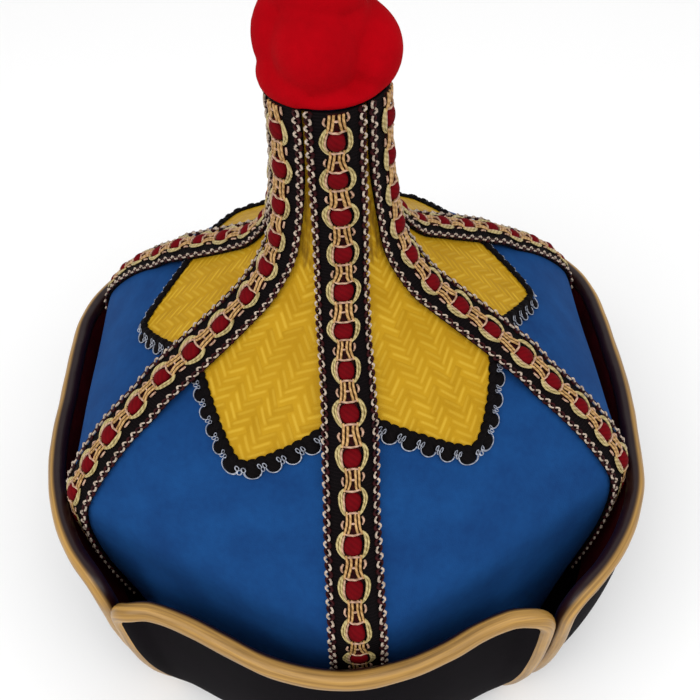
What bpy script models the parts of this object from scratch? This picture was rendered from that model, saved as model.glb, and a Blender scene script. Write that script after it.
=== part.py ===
"""Mongolian hat: six velvet gores on a hexagonal bell crown, braided seams, a knot and a flap brim."""

import math
from collections import namedtuple

import bmesh
import bpy
from mathutils import Vector

MM = 0.001
SHARP_EDGE = math.radians(40.0)

# Crown. The seam line is the ridge between two gores, read from the top of the neck down to the hem.
# radius and height are in millimetres; facets is 2 for a round section, more for a crisper hexagon.
Station = namedtuple("Station", "radius height facets")
SEAM_STATIONS = (
    Station(14.3, 213.0, 6.0),
    Station(14.9, 191.0, 7.0),
    Station(17.5, 170.0, 9.0),
    Station(21.3, 156.7, 11.0),
    Station(30.2, 144.8, 14.0),
    Station(40.9, 137.5, 18.0),
    Station(62.4, 125.2, 24.0),
    Station(85.2, 111.4, 28.0),
    Station(102.2, 94.4, 26.0),
    Station(107.0, 82.0, 22.0),
    Station(106.0, 58.0, 14.0),
    Station(101.2, 30.0, 7.0),
    Station(95.0, 0.0, 2.0),
)
GORE_COUNT = 6
GORE_ANGLE = math.tau / GORE_COUNT
SEAM_BEARINGS = (0.0, 62.0, 118.5, 180.0, 240.0, 298.0, 360.0)
GORE_THICKNESS = 2.0 * MM
GORE_COLUMNS = (0.0, 0.08, 0.28, 0.5, 0.72, 0.92, 1.0)
SEAM_SAMPLES_PER_SPAN = 16
FLARE_SPANS = (2, 3, 4)
SURFACE_STEP = 0.4 * MM
SURFACE_TURN = 0.004

# The seams run a little askew towards the top: the neck is turned on the bell, in degrees, and
# unwinds in two steps, each from a distance down the crown and over a length.
Turn = namedtuple("Turn", "angle start over")
NECK_TURNS = (
    Turn(4.6, 30.0 * MM, 50.0 * MM),
    Turn(1.6, 80.0 * MM, 60.0 * MM),
)

# Layers on the crown, from the velvet outwards.
GAP = 0.3 * MM
BROCADE_THICKNESS = 1.0 * MM
LACE_THICKNESS = 0.8 * MM
BRAID_THICKNESS = 1.0 * MM
COLLAR_GAP = 0.5 * MM
BRAID_BRIDGE = 0.7 * MM

# Trim spacing. The raised knobs of the braid set the rhythm of the whole trim.
KNOB_PITCH = 13.0 * MM
FIRST_KNOB = 9.0 * MM

# Brocade collar: one panel a gore, down to a blunt point a little past the gore's middle. The points
# were cut by hand and differ in length. Millimetres from the top of the neck.
COLLAR_AT_SEAM = 97.0 * MM
COLLAR_POINTS = (131.0, 126.0, 127.0, 127.0, 126.0, 128.5)
COLLAR_POINT_ROUNDING = 0.07
COLLAR_POINT_SKEW = 0.32
COLLAR_SLANT_ROWS = 3
COLLAR_COLUMNS = (0.0, 0.08, 0.54, 0.92, 1.0)

# Scalloped lace along the collar's two lower edges.
LACE_WIDTH = 6.2 * MM
LACE_VALLEY = 0.62
LACE_SCALLOPS = 11
LACE_END = 0.085
LACE_SLANT = math.radians(30.0)
SCALLOP_OUTLINE = ((0.0, LACE_VALLEY), (0.5, 1.0))

# Seam braid and the gimp row that stands on its middle.
BRAID_HALF_WIDTH_NECK = 7.8 * MM
BRAID_HALF_WIDTH = 9.0 * MM
BRAID_WIDENS_AT = 62.0 * MM
BRAID_WIDENS_OVER = 14.0 * MM
BRAID_LENGTH = 232.0 * MM
BRAID_STEP_DOWN_AT = 116.0 * MM
BRAID_STEP_DOWN_OVER = 12.0 * MM
GIMP_HALF_WIDTH_KNOB = 4.9 * MM
GIMP_HALF_WIDTH_WAIST = 3.2 * MM
GIMP_HEIGHT_KNOB = 2.2 * MM
GIMP_HEIGHT_WAIST = 1.2 * MM
GIMP_HEIGHT_EDGE = 0.7 * MM
GIMP_KNOBS = 13

# Brim: four flaps turned up from the hem. The rim's plan is given for the front half from side to
# side. Behind, where it lies close to the crown, it is given for one side and is the same on the
# other. bearing is the angle from the front in degrees, radius the rim's in millimetres.
RimRow = namedtuple("RimRow", "bearing radius")
RIM_PLAN = (
    RimRow(-90.0, 107.6),
    RimRow(-80.0, 109.4),
    RimRow(-72.0, 111.9),
    RimRow(-66.0, 113.7),
    RimRow(-60.0, 115.4),
    RimRow(-54.0, 116.6),
    RimRow(-48.0, 117.2),
    RimRow(-43.0, 118.3),
    RimRow(-39.5, 117.8),
    RimRow(-36.0, 113.6),
    RimRow(-30.0, 111.5),
    RimRow(-23.0, 112.3),
    RimRow(-12.0, 116.4),
    RimRow(-2.0, 118.2),
    RimRow(7.0, 116.6),
    RimRow(14.0, 114.3),
    RimRow(20.0, 112.4),
    RimRow(25.5, 113.0),
    RimRow(29.0, 116.0),
    RimRow(33.0, 119.0),
    RimRow(38.0, 119.2),
    RimRow(44.0, 118.9),
    RimRow(50.0, 118.2),
    RimRow(56.0, 116.8),
    RimRow(62.0, 114.8),
    RimRow(69.0, 111.3),
    RimRow(76.0, 109.0),
    RimRow(90.0, 107.6),
)
BACK_RIM_PLAN = (
    RimRow(90.0, 107.6),
    RimRow(97.0, 108.4),
    RimRow(104.0, 110.6),
    RimRow(111.0, 113.6),
    RimRow(118.0, 115.0),
    RimRow(126.0, 113.8),
    RimRow(134.0, 110.0),
    RimRow(142.0, 107.0),
    RimRow(150.0, 106.0),
    RimRow(158.0, 106.4),
    RimRow(165.0, 109.4),
    RimRow(172.0, 114.2),
    RimRow(180.0, 118.2),
)
RIM_HEIGHT = 84.0 * MM
FOLD_RADIUS = 104.0 * MM
FLAP_SWELL = 3.0
FLAP_THICKNESS = 2.6 * MM
FACING_THICKNESS = 1.2 * MM
FLAP_CORNER = 12.0 * MM
FLAP_MEAN_RADIUS = 114.0 * MM
HEM_RADIUS = 96.6 * MM
SLIT_BEARINGS = (-43.3, 33.2, 146.8, 223.3, 316.7)
SLIT_WIDTH = 1.0 * MM
BINDING_RADIUS = 3.1 * MM
BINDING_SEAT = 0.7 * MM
BINDING_FOOT = 8.0 * MM
FLAP_FOOT = 1.6 * MM
FLAP_INNER_FOOT = 3.2 * MM
FLAP_COLUMNS = 8
FLAP_CORNER_TURNS = (90.0, 55.0, 20.0)
BINDING_CORNER_TURNS = (0.0, 45.0, 90.0)
BINDING_SIDE_STEPS = 3
FLAP_FLOOR = (HEM_RADIUS, 100.8 * MM)
FLAP_WALL_ROWS = (0.0, 0.06, 0.2, 0.45, 0.72, 1.0)
FACING_FIRST_ROW = 2
FLAP_SIDES = ("front", "right", "back", "left")

# Knot: padded rolls of velvet around a core, each a run of balls. Millimetres from the knot's middle,
# which lies a little off the neck's axis.
KNOT_HEIGHT = 228.5 * MM
KNOT_OFFSET = 1.6 * MM
KNOT_SEGMENTS = 18
KNOT_RINGS = 10
KNOT_FOOT = 213.4 * MM
Roll = namedtuple("Roll", "start middle end radius")
KNOT_ROLLS = (
    Roll((-4.0, 0.0, -0.5), (-4.5, -9.0, -2.0), (-3.5, -7.0, -6.0), 12.0),
    Roll((9.0, 2.0, -2.5), (12.2, -1.0, -6.0), (10.5, -5.5, -8.5), 8.8),
    Roll((-9.5, 4.0, 5.0), (-14.5, 0.5, -1.0), (-12.8, -1.5, -6.5), 8.6),
    Roll((-13.5, 2.0, -11.5), (-17.5, -4.0, -12.0), (-9.0, -11.0, -12.0), 6.6),
    Roll((-9.0, 0.0, 9.0), (-1.0, -7.0, 10.5), (4.0, -1.0, 9.5), 7.6),
    Roll((4.5, 9.0, 3.5), (-2.0, 12.0, -1.0), (-8.0, 8.0, -7.0), 9.6),
    Roll((9.5, 6.0, -6.0), (9.0, 8.0, -9.0), (1.0, 10.0, -8.0), 8.4),
)
KNOT_CORE = 12.5 * MM
KNOT_BALLS_PER_ROLL = 9

COLOURS = {
    "velvet_blue": ((0.018, 0.085, 0.25, 1.0), 0.9, 0.0),
    "brocade_yellow": ((0.52, 0.31, 0.02, 1.0), 0.4, 0.1),
    "lace_black": ((0.012, 0.010, 0.012, 1.0), 0.7, 0.0),
    "braid_black": ((0.010, 0.009, 0.010, 1.0), 0.75, 0.0),
    "gimp_gold": ((0.46, 0.30, 0.10, 1.0), 0.35, 0.6),
    "velvet_black": ((0.004, 0.002, 0.004, 1.0), 0.95, 0.0),
    "velvet_wine": ((0.018, 0.001, 0.001, 1.0), 0.9, 0.0),
    "satin_gold": ((0.36, 0.20, 0.05, 1.0), 0.35, 0.2),
    "velvet_red": ((0.42, 0.0, 0.004, 1.0), 0.85, 0.0),
}


def clear_scene():
    """Remove every object that the file starts with."""
    for item in list(bpy.data.objects):
        bpy.data.objects.remove(item, do_unlink=True)


def make_material(name):
    """Return the plain material of one of the hat's cloths."""
    colour, roughness, metallic = COLOURS[name]
    material = bpy.data.materials.new(name)
    material.use_nodes = True
    shader = material.node_tree.nodes["Principled BSDF"]
    shader.inputs["Base Color"].default_value = colour
    shader.inputs["Roughness"].default_value = roughness
    shader.inputs["Metallic"].default_value = metallic
    return material


def spline(values, span, t):
    """Return the Catmull-Rom value t of the way along one span of a list, its ends run straight on."""
    last = len(values) - 1
    here = values[span]
    there = values[span + 1]
    before = values[span - 1] if span > 0 else 2.0 * here - there
    after = values[span + 2] if span + 2 <= last else 2.0 * there - here
    slope_in = 0.5 * (there - before)
    slope_out = 0.5 * (after - here)
    rise = there - here
    return here + slope_in * t + (3.0 * rise - 2.0 * slope_in - slope_out) * t**2 + (
        slope_in + slope_out - 2.0 * rise
    ) * t**3


def seam_samples():
    """Return (length, radius, height, facets) closely spaced down the seam, in metres."""
    samples = []
    length = 0.0
    radii = [row.radius * MM for row in SEAM_STATIONS]
    heights = [row.height * MM for row in SEAM_STATIONS]
    facets = [row.facets for row in SEAM_STATIONS]
    for span in range(len(SEAM_STATIONS) - 1):
        steps = SEAM_SAMPLES_PER_SPAN + (1 if span == len(SEAM_STATIONS) - 2 else 0)
        for step in range(steps):
            t = step / SEAM_SAMPLES_PER_SPAN
            point = (spline(radii, span, t), spline(heights, span, t), spline(facets, span, t))
            if samples:
                length += math.hypot(point[0] - samples[-1][1], point[1] - samples[-1][2])
            samples.append((length, *point))
    return samples


SEAM = seam_samples()
SEAM_LENGTH = SEAM[-1][0]


def seam_at(length):
    """Return (radius, height, facets) at a distance down the seam."""
    length = min(max(length, 0.0), SEAM_LENGTH)
    low, high = 0, len(SEAM) - 1
    while high - low > 1:
        middle = (low + high) // 2
        if SEAM[middle][0] <= length:
            low = middle
        else:
            high = middle
    t = (length - SEAM[low][0]) / (SEAM[high][0] - SEAM[low][0])
    return tuple(a + (b - a) * t for a, b in zip(SEAM[low][1:], SEAM[high][1:]))


def section_factor(bearing, facets):
    """Return a rounded hexagon's radius at a bearing, 1 on the seams."""

    def reach(angle):
        total = 0.0
        for gore in range(GORE_COUNT):
            facing = math.cos(angle - (gore + 0.5) * GORE_ANGLE)
            total += max(facing, 0.0) ** facets
        return total ** (-1.0 / facets)

    return reach(bearing) / reach(0.0)


def sewn_bearing(bearing):
    """Return where an even hexagon's bearing lies once the seams are at their own bearings."""
    turns, around = divmod(bearing, math.tau)
    gore = min(int(around / GORE_ANGLE), GORE_COUNT - 1)
    share = around / GORE_ANGLE - gore
    start, end = SEAM_BEARINGS[gore:gore + 2]
    return turns * math.tau + math.radians(start + (end - start) * share)


def ease(value, start, over):
    """Return a smooth step from 0 before start to 1 after start + over."""
    t = min(max((value - start) / over, 0.0), 1.0)
    return t * t * (3.0 - 2.0 * t)


def neck_turn(length):
    """Return how far the crown is turned at a distance down it."""
    return math.radians(sum(turn.angle * (1.0 - ease(length, turn.start, turn.over))
                            for turn in NECK_TURNS))


def crown_surface(length, bearing):
    """Return the point of the velvet's outer face at a distance down the crown and a bearing."""
    radius, height, facets = seam_at(length)
    reach = radius * section_factor(bearing, facets)
    angle = sewn_bearing(bearing) + neck_turn(length)
    return Vector((reach * math.sin(angle), -reach * math.cos(angle), height))


def crown_normal(length, bearing):
    """Return the outward normal of the velvet's outer face."""
    upper = max(length - SURFACE_STEP, 0.0)
    lower = min(length + SURFACE_STEP, SEAM_LENGTH)
    down = crown_surface(lower, bearing) - crown_surface(upper, bearing)
    around = crown_surface(length, bearing + SURFACE_TURN) - crown_surface(length, bearing - SURFACE_TURN)
    return down.cross(around).normalized()


def crown_point(length, bearing, lift):
    """Return a point a lift above the velvet's outer face."""
    return crown_surface(length, bearing) + crown_normal(length, bearing) * lift


def bearing_off_seam(length, seam_bearing, offset, lift):
    """Return the bearing that lies an offset to the side of a seam, measured a lift above the velvet."""
    bearing = seam_bearing
    for _ in range(4):
        half = (bearing + seam_bearing) / 2.0
        across = (crown_point(length, half + SURFACE_TURN, lift)
                  - crown_point(length, half - SURFACE_TURN, lift))
        bearing = seam_bearing + offset * 2.0 * SURFACE_TURN / across.length
    return bearing


def closed_sheet(name, outer, inner, material, collection):
    """Make one closed solid between an outer and an inner grid of points, with its rim closed."""
    mesh = bpy.data.meshes.new(name)
    body = bmesh.new()
    rows = len(outer)
    columns = len(outer[0])
    top = [[body.verts.new(point) for point in row] for row in outer]
    bottom = [[body.verts.new(point) for point in row] for row in inner]
    for row in range(rows - 1):
        for column in range(columns - 1):
            near, side = (row, column), (row, column + 1)
            far, under = (row + 1, column + 1), (row + 1, column)
            for corners in ((near, side, far), (near, far, under)):
                body.faces.new([top[r][c] for r, c in corners])
                body.faces.new([bottom[r][c] for r, c in reversed(corners)])
    rim = [(0, c) for c in range(columns)]
    rim += [(r, columns - 1) for r in range(1, rows)]
    rim += [(rows - 1, c) for c in range(columns - 2, -1, -1)]
    rim += [(r, 0) for r in range(rows - 2, 0, -1)]
    for here, there in zip(rim, rim[1:] + rim[:1]):
        body.faces.new((top[there[0]][there[1]], top[here[0]][here[1]],
                        bottom[here[0]][here[1]], bottom[there[0]][there[1]]))
    bmesh.ops.recalc_face_normals(body, faces=body.faces)
    body.to_mesh(mesh)
    body.free()
    mesh.shade_smooth()
    mesh.set_sharp_from_angle(angle=SHARP_EDGE)
    item = bpy.data.objects.new(name, mesh)
    item.data.materials.append(material)
    collection.objects.link(item)
    return item


def gore_rows():
    """Return the distances down the seam at which the layers have their rows, closer in the flare."""
    whole = list(range(0, len(SEAM), SEAM_SAMPLES_PER_SPAN))
    halves = [span * SEAM_SAMPLES_PER_SPAN + SEAM_SAMPLES_PER_SPAN // 2 for span in FLARE_SPANS]
    return [SEAM[index][0] for index in sorted(whole + halves)]


def layer_on_crown(name, rows, low, high, material, collection):
    """Make a closed layer on the crown from rows of (distance, bearing) and its two lifts."""
    outer = [[crown_point(length, bearing, high) for length, bearing in row] for row in rows]
    inner = [[crown_point(length, bearing, low) for length, bearing in row] for row in rows]
    return closed_sheet(name, outer, inner, material, collection)


def gore_bearing(index, share, length):
    """Return the bearing at a share of a gore's width, its two edges half a gap off the seams."""
    radius = seam_at(length)[0]
    margin = GAP / 2.0 / radius
    start = index * GORE_ANGLE + margin
    return start + (GORE_ANGLE - 2.0 * margin) * share


def build_gore(index, material, collection):
    """Make one velvet gore, from the top of the neck to the hem."""
    rows = []
    for length in gore_rows():
        rows.append([(length, gore_bearing(index, share, length)) for share in GORE_COLUMNS])
    name = f"crown_gore_{index + 1}"
    return layer_on_crown(name, rows, -GORE_THICKNESS, 0.0, material, collection)


def collar_edge(index, share):
    """Return how far down the crown a panel's edge lies at a share of its gore's width."""
    off_middle = 2.0 * share - 1.0 - COLLAR_POINT_SKEW * share * (1.0 - share)
    rounded = math.sqrt(off_middle**2 + COLLAR_POINT_ROUNDING**2)
    span = math.sqrt(1.0 + COLLAR_POINT_ROUNDING**2)
    return COLLAR_AT_SEAM + (COLLAR_POINTS[index] * MM - COLLAR_AT_SEAM) * (span - rounded)


def build_collar_panel(index, material, collection):
    """Make one brocade panel, on the velvet of its gore: level rows, then rows that slant to its edge."""
    level = [length for length in gore_rows() if length < COLLAR_AT_SEAM - KNOB_PITCH / 2.0]
    rows = [[(length, gore_bearing(index, share, length)) for share in COLLAR_COLUMNS] for length in level]
    for step in range(1, COLLAR_SLANT_ROWS + 1):
        row = []
        for share in COLLAR_COLUMNS:
            length = level[-1] + (collar_edge(index, share) - level[-1]) * step / COLLAR_SLANT_ROWS
            row.append((length, gore_bearing(index, share, length)))
        rows.append(row)
    name = f"collar_panel_{index + 1}"
    return layer_on_crown(name, rows, COLLAR_GAP, COLLAR_GAP + BROCADE_THICKNESS, material, collection)


def build_lace(index, material, collection):
    """Make the scalloped lace below one brocade panel."""
    inner_row = []
    outer_row = []
    for scallop in range(LACE_SCALLOPS):
        for part, reach in SCALLOP_OUTLINE:
            along = (scallop + part) / LACE_SCALLOPS
            inner_row.append((along, GAP))
            outer_row.append((along, LACE_WIDTH * reach))
    inner_row.append((1.0, GAP))
    outer_row.append((1.0, LACE_WIDTH * LACE_VALLEY))
    rows = []
    for edge in (inner_row, outer_row):
        row = []
        for along, drop in edge:
            share = LACE_END + (1.0 - 2.0 * LACE_END) * along
            length = collar_edge(index, share) + drop / math.cos(LACE_SLANT)
            row.append((length, gore_bearing(index, share, length)))
        rows.append(row)
    name = f"lace_edging_{index + 1}"
    return layer_on_crown(name, rows, GAP, GAP + LACE_THICKNESS, material, collection)


def braid_lift(length):
    """Return the height of the braid's underside above the velvet: over the collar, then close to it."""
    on_collar = COLLAR_GAP + BROCADE_THICKNESS + BRAID_BRIDGE
    return on_collar + (GAP - on_collar) * ease(length, BRAID_STEP_DOWN_AT, BRAID_STEP_DOWN_OVER)


def braid_half_width(length):
    """Return half the braid's width, drawn in on the neck."""
    widening = ease(length, BRAID_WIDENS_AT, BRAID_WIDENS_OVER)
    return BRAID_HALF_WIDTH_NECK + (BRAID_HALF_WIDTH - BRAID_HALF_WIDTH_NECK) * widening


def strip_rows(index, stations):
    """Return the rows of (distance, bearing) of a strip on a seam, from (distance, half width)."""
    seam_bearing = index * GORE_ANGLE
    rows = []
    for length, half_width in stations:
        lift = braid_lift(length) + BRAID_THICKNESS
        rows.append([(length, bearing_off_seam(length, seam_bearing, side * half_width, lift))
                     for side in (-1.0, 0.0, 1.0)])
    return rows


def build_braid(index, material, collection):
    """Make the flat braid that covers one seam, from the neck down behind the brim."""
    lengths = [length for length in gore_rows() if length < BRAID_LENGTH]
    lengths += [BRAID_STEP_DOWN_AT, BRAID_STEP_DOWN_AT + BRAID_STEP_DOWN_OVER, BRAID_LENGTH]
    stations = [(length, braid_half_width(length)) for length in sorted(lengths)]
    rows = strip_rows(index, stations)
    outer = [[crown_point(s, a, braid_lift(s) + BRAID_THICKNESS) for s, a in row] for row in rows]
    inner = [[crown_point(s, a, braid_lift(s)) for s, a in row] for row in rows]
    return closed_sheet(f"seam_braid_{index + 1}", outer, inner, material, collection)


def build_gimp(index, material, collection):
    """Make the raised gimp row on one braid, swelling at each knob and drawn in above and below it."""
    stations = []
    heights = []
    for half in range(-1, 2 * GIMP_KNOBS - 1):
        on_knob = half % 2 == 0
        length = FIRST_KNOB + half * KNOB_PITCH / 2.0
        stations.append((length, GIMP_HALF_WIDTH_KNOB if on_knob else GIMP_HALF_WIDTH_WAIST))
        heights.append(GIMP_HEIGHT_KNOB if on_knob else GIMP_HEIGHT_WAIST)
    outer = []
    inner = []
    for row, height in zip(strip_rows(index, stations), heights):
        base = braid_lift(row[1][0]) + BRAID_THICKNESS + GAP
        tops = (GIMP_HEIGHT_EDGE, height, GIMP_HEIGHT_EDGE)
        outer.append([crown_point(s, a, base + top) for (s, a), top in zip(row, tops)])
        inner.append([crown_point(s, a, base) for s, a in row])
    return closed_sheet(f"seam_gimp_{index + 1}", outer, inner, material, collection)


def rim_radius(bearing):
    """Return the rim's outer radius at a bearing in degrees."""
    folded = (bearing + 180.0) % 360.0 - 180.0
    plan = RIM_PLAN
    if abs(folded) > 90.0:
        folded = abs(folded)
        plan = BACK_RIM_PLAN
    span = max(i for i, row in enumerate(plan[:-1]) if row.bearing <= folded)
    here, there = plan[span], plan[span + 1]
    width = there.bearing - here.bearing
    t = (folded - here.bearing) / width
    slope_in = rim_slope(plan, span) * width
    slope_out = rim_slope(plan, span + 1) * width
    rise = there.radius - here.radius
    value = here.radius + slope_in * t + (3.0 * rise - 2.0 * slope_in - slope_out) * t**2 + (
        slope_in + slope_out - 2.0 * rise
    ) * t**3
    return value * MM


def rim_slope(plan, index):
    """Return the rim's change of radius for each degree at a row of a plan."""
    if index in (0, len(plan) - 1):
        return 0.0
    before, after = plan[index - 1], plan[index + 1]
    return (after.radius - before.radius) / (after.bearing - before.bearing)


def flap_point(bearing, height, depth):
    """Return a point of a flap, a depth inside its outer face."""
    rise = min(max(height / RIM_HEIGHT, 0.0), 1.0)
    radius = FOLD_RADIUS + (rim_radius(bearing) - FOLD_RADIUS) * (1.0 - (1.0 - rise) ** FLAP_SWELL)
    radius -= depth
    angle = math.radians(bearing)
    return Vector((radius * math.sin(angle), -radius * math.cos(angle), height))


def flap_span(side):
    """Return the bearing of a flap's middle and half the angle between its two slits."""
    index = FLAP_SIDES.index(side)
    start, end = SLIT_BEARINGS[index:index + 2]
    return (start + end) / 2.0, (end - start) / 2.0


def flap_half_span(half_bearing, inset):
    """Return half a flap's width along the rim, less half the slit and an inset."""
    return math.radians(half_bearing) * FLAP_MEAN_RADIUS - SLIT_WIDTH / 2.0 - inset


def flap_top(across, half_span, inset):
    """Return the height of a flap's top edge, rounded at its two corners."""
    corner = FLAP_CORNER - inset
    into_corner = abs(across) - (half_span - corner)
    top = RIM_HEIGHT - inset
    if into_corner <= 0.0:
        return top
    return top - corner + math.sqrt(max(corner**2 - into_corner**2, 0.0))


def flap_columns(half_span, corner):
    """Return the places across a flap where it has its columns, close together in the corners."""
    turn = [half_span - corner * (1.0 - math.sin(math.radians(a))) for a in FLAP_CORNER_TURNS]
    middle = [turn[-1] * (1.0 - 2.0 * i / FLAP_COLUMNS) for i in range(1, FLAP_COLUMNS)]
    return turn + middle + [-value for value in reversed(turn)]


def flap_bearing(centre, across):
    """Return the bearing of a place across a flap."""
    return centre + math.degrees(across / FLAP_MEAN_RADIUS)


def flap_wall(side):
    """Return the rows of (bearing, height) of one flap's turned-up wall, inside its binding."""
    centre, half_bearing = flap_span(side)
    inset = 2.0 * BINDING_RADIUS + BINDING_SEAT
    half_span = flap_half_span(half_bearing, inset)
    columns = flap_columns(half_span, FLAP_CORNER - inset)
    rows = []
    for step in FLAP_WALL_ROWS:
        row = []
        for across in columns:
            rise = flap_top(across, half_span, inset) - FLAP_FOOT
            row.append((flap_bearing(centre, across), FLAP_FOOT + rise * step))
        rows.append(row)
    return rows


def build_flap(side, material, collection):
    """Make one velvet flap: flat under the hem, turned up at the fold and swelling to the rim."""
    wall = flap_wall(side)
    bearings = [bearing for bearing, _ in wall[0]]
    outer = [[polar(bearing, radius, 0.0) for bearing in bearings] for radius in FLAP_FLOOR]
    inner = [[polar(bearing, radius, FLAP_THICKNESS) for bearing in bearings] for radius in FLAP_FLOOR]
    for row in wall:
        outer.append([flap_point(bearing, height, 0.0) for bearing, height in row])
        inner.append([flap_point(bearing, max(height, FLAP_INNER_FOOT), FLAP_THICKNESS)
                      for bearing, height in row])
    return closed_sheet(f"brim_flap_{side}", outer, inner, material, collection)


def polar(bearing, radius, height):
    """Return the point at a bearing in degrees, a radius and a height."""
    angle = math.radians(bearing)
    return Vector((radius * math.sin(angle), -radius * math.cos(angle), height))


def build_facing(side, material, collection):
    """Make the wine velvet facing on the crown side of one flap."""
    near = FLAP_THICKNESS + GAP
    far = near + FACING_THICKNESS
    wall = flap_wall(side)[FACING_FIRST_ROW:]
    outer = [[flap_point(bearing, height, near) for bearing, height in row] for row in wall]
    inner = [[flap_point(bearing, height, far) for bearing, height in row] for row in wall]
    return closed_sheet(f"flap_facing_{side}", outer, inner, material, collection)


def binding_path(centre, half_bearing):
    """Return the points of a flap's binding, up one side, over the top and down the other."""
    inset = BINDING_RADIUS
    half_span = flap_half_span(half_bearing, inset)
    corner = FLAP_CORNER - inset
    places = []
    side_height = RIM_HEIGHT - inset - corner - BINDING_FOOT
    for step in range(BINDING_SIDE_STEPS):
        places.append((half_span, BINDING_FOOT + side_height * step / BINDING_SIDE_STEPS))
    for angle in BINDING_CORNER_TURNS:
        turn = math.radians(angle)
        across = half_span - corner * (1.0 - math.cos(turn))
        places.append((across, RIM_HEIGHT - inset - corner * (1.0 - math.sin(turn))))
    straight = half_span - corner
    middle = [(straight * (1.0 - 2.0 * i / FLAP_COLUMNS), RIM_HEIGHT - inset)
              for i in range(1, FLAP_COLUMNS)]
    mirrored = [(-across, height) for across, height in reversed(places)]
    depth = (FLAP_THICKNESS + GAP + FACING_THICKNESS) / 2.0
    return [flap_point(flap_bearing(centre, across), height, depth)
            for across, height in places + middle + mirrored]


def build_binding(side, material, collection):
    """Make the rolled satin binding along the free edges of one flap."""
    points = binding_path(*flap_span(side))
    curve = bpy.data.curves.new(f"flap_binding_{side}", "CURVE")
    curve.dimensions = "3D"
    curve.bevel_depth = BINDING_RADIUS
    curve.bevel_resolution = 1
    curve.use_fill_caps = True
    line = curve.splines.new("POLY")
    line.points.add(len(points) - 1)
    for spot, point in zip(line.points, points):
        spot.co = (*point, 1.0)
    item = bpy.data.objects.new(curve.name, curve)
    item.data.materials.append(material)
    collection.objects.link(item)
    return item


def knot_balls():
    """Return (middle, radius) of the balls that fill the knot's core and rolls, in metres."""
    balls = [(Vector((0.0, 0.0, 0.0)), KNOT_CORE)]
    for roll in KNOT_ROLLS:
        start, middle, end = (Vector(place) * MM for place in roll[:3])
        for step in range(KNOT_BALLS_PER_ROLL):
            t = step / (KNOT_BALLS_PER_ROLL - 1)
            place = start * (1.0 - t) ** 2 + middle * 2.0 * t * (1.0 - t) + end * t**2
            balls.append((place, roll.radius * MM))
    return balls


def knot_reach(direction, balls):
    """Return how far the knot reaches from its middle in a direction."""
    reach = 0.0
    for middle, radius in balls:
        along = direction.dot(middle)
        inside = along**2 - middle.length_squared + radius**2
        if inside > 0.0:
            reach = max(reach, along + math.sqrt(inside))
    return reach


def build_knot(material, collection):
    """Make the padded velvet knot that closes the neck."""
    body = bmesh.new()
    bmesh.ops.create_uvsphere(body, u_segments=KNOT_SEGMENTS, v_segments=KNOT_RINGS, radius=1.0)
    balls = knot_balls()
    for vert in body.verts:
        direction = vert.co.normalized()
        vert.co = direction * knot_reach(direction, balls)
        vert.co.x += KNOT_OFFSET
        vert.co.z = max(vert.co.z + KNOT_HEIGHT, KNOT_FOOT)
    mesh = bpy.data.meshes.new("top_knot")
    body.to_mesh(mesh)
    body.free()
    mesh.shade_smooth()
    item = bpy.data.objects.new("top_knot", mesh)
    item.data.materials.append(material)
    collection.objects.link(item)
    return item


def main():
    """Build the hat."""
    clear_scene()
    collection = bpy.data.collections.new("mongolian_hat")
    bpy.context.scene.collection.children.link(collection)
    cloth = {name: make_material(name) for name in COLOURS}
    for index in range(GORE_COUNT):
        build_gore(index, cloth["velvet_blue"], collection)
        build_collar_panel(index, cloth["brocade_yellow"], collection)
        build_lace(index, cloth["lace_black"], collection)
        build_braid(index, cloth["braid_black"], collection)
        build_gimp(index, cloth["gimp_gold"], collection)
    for side in FLAP_SIDES:
        build_flap(side, cloth["velvet_black"], collection)
        build_facing(side, cloth["velvet_wine"], collection)
        build_binding(side, cloth["satin_gold"], collection)
    build_knot(cloth["velvet_red"], collection)


main()
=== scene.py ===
"""Mongolian hat: velvet, brocade, lace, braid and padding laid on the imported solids.

Every piece of the crown is cut flat, as a tailor cuts it, and then laid on the crown's form. In a flat
pattern x runs across the cloth, y runs up it, and z is the height above the velvet, all in metres.
"""

import logging
import math
from collections.abc import Callable, Iterable
from dataclasses import dataclass
from enum import Enum

import bpy
import numpy as np
from mathutils import Matrix, Vector


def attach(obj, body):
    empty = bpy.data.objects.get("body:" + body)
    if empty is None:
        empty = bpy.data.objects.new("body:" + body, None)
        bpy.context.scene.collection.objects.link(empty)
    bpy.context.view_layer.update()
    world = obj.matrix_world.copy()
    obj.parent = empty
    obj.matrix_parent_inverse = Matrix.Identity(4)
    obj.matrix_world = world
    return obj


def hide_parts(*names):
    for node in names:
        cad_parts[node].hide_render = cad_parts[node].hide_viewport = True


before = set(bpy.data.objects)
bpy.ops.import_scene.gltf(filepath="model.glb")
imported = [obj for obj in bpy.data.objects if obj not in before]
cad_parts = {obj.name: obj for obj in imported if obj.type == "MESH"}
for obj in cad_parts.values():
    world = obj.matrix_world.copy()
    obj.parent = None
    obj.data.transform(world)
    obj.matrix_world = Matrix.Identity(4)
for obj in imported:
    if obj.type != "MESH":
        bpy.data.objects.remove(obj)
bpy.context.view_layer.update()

LOG = logging.getLogger("mongolian_hat")
MM = 0.001
BODY = "root"
GORE_COUNT = 6
GORE_TURN = math.tau / GORE_COUNT
KNOB_PITCH = 13.0 * MM
CRISP_ANGLE = math.radians(50.0)
RIDGE_SCALE = 0.31  # the wave node's scale, times the pitch, that gives one ridge a pitch

Points = np.ndarray
Triple = tuple[float, float, float]
Mapper = Callable[[Points], Points]
Socket = bpy.types.NodeSocket
Tree = bpy.types.NodeTree


class Side(Enum):
    """The brim's four flaps, from the front round by +X. Right and left are those of the photograph."""

    FRONT = "front"
    RIGHT = "right"
    BACK = "back"
    LEFT = "left"


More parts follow.
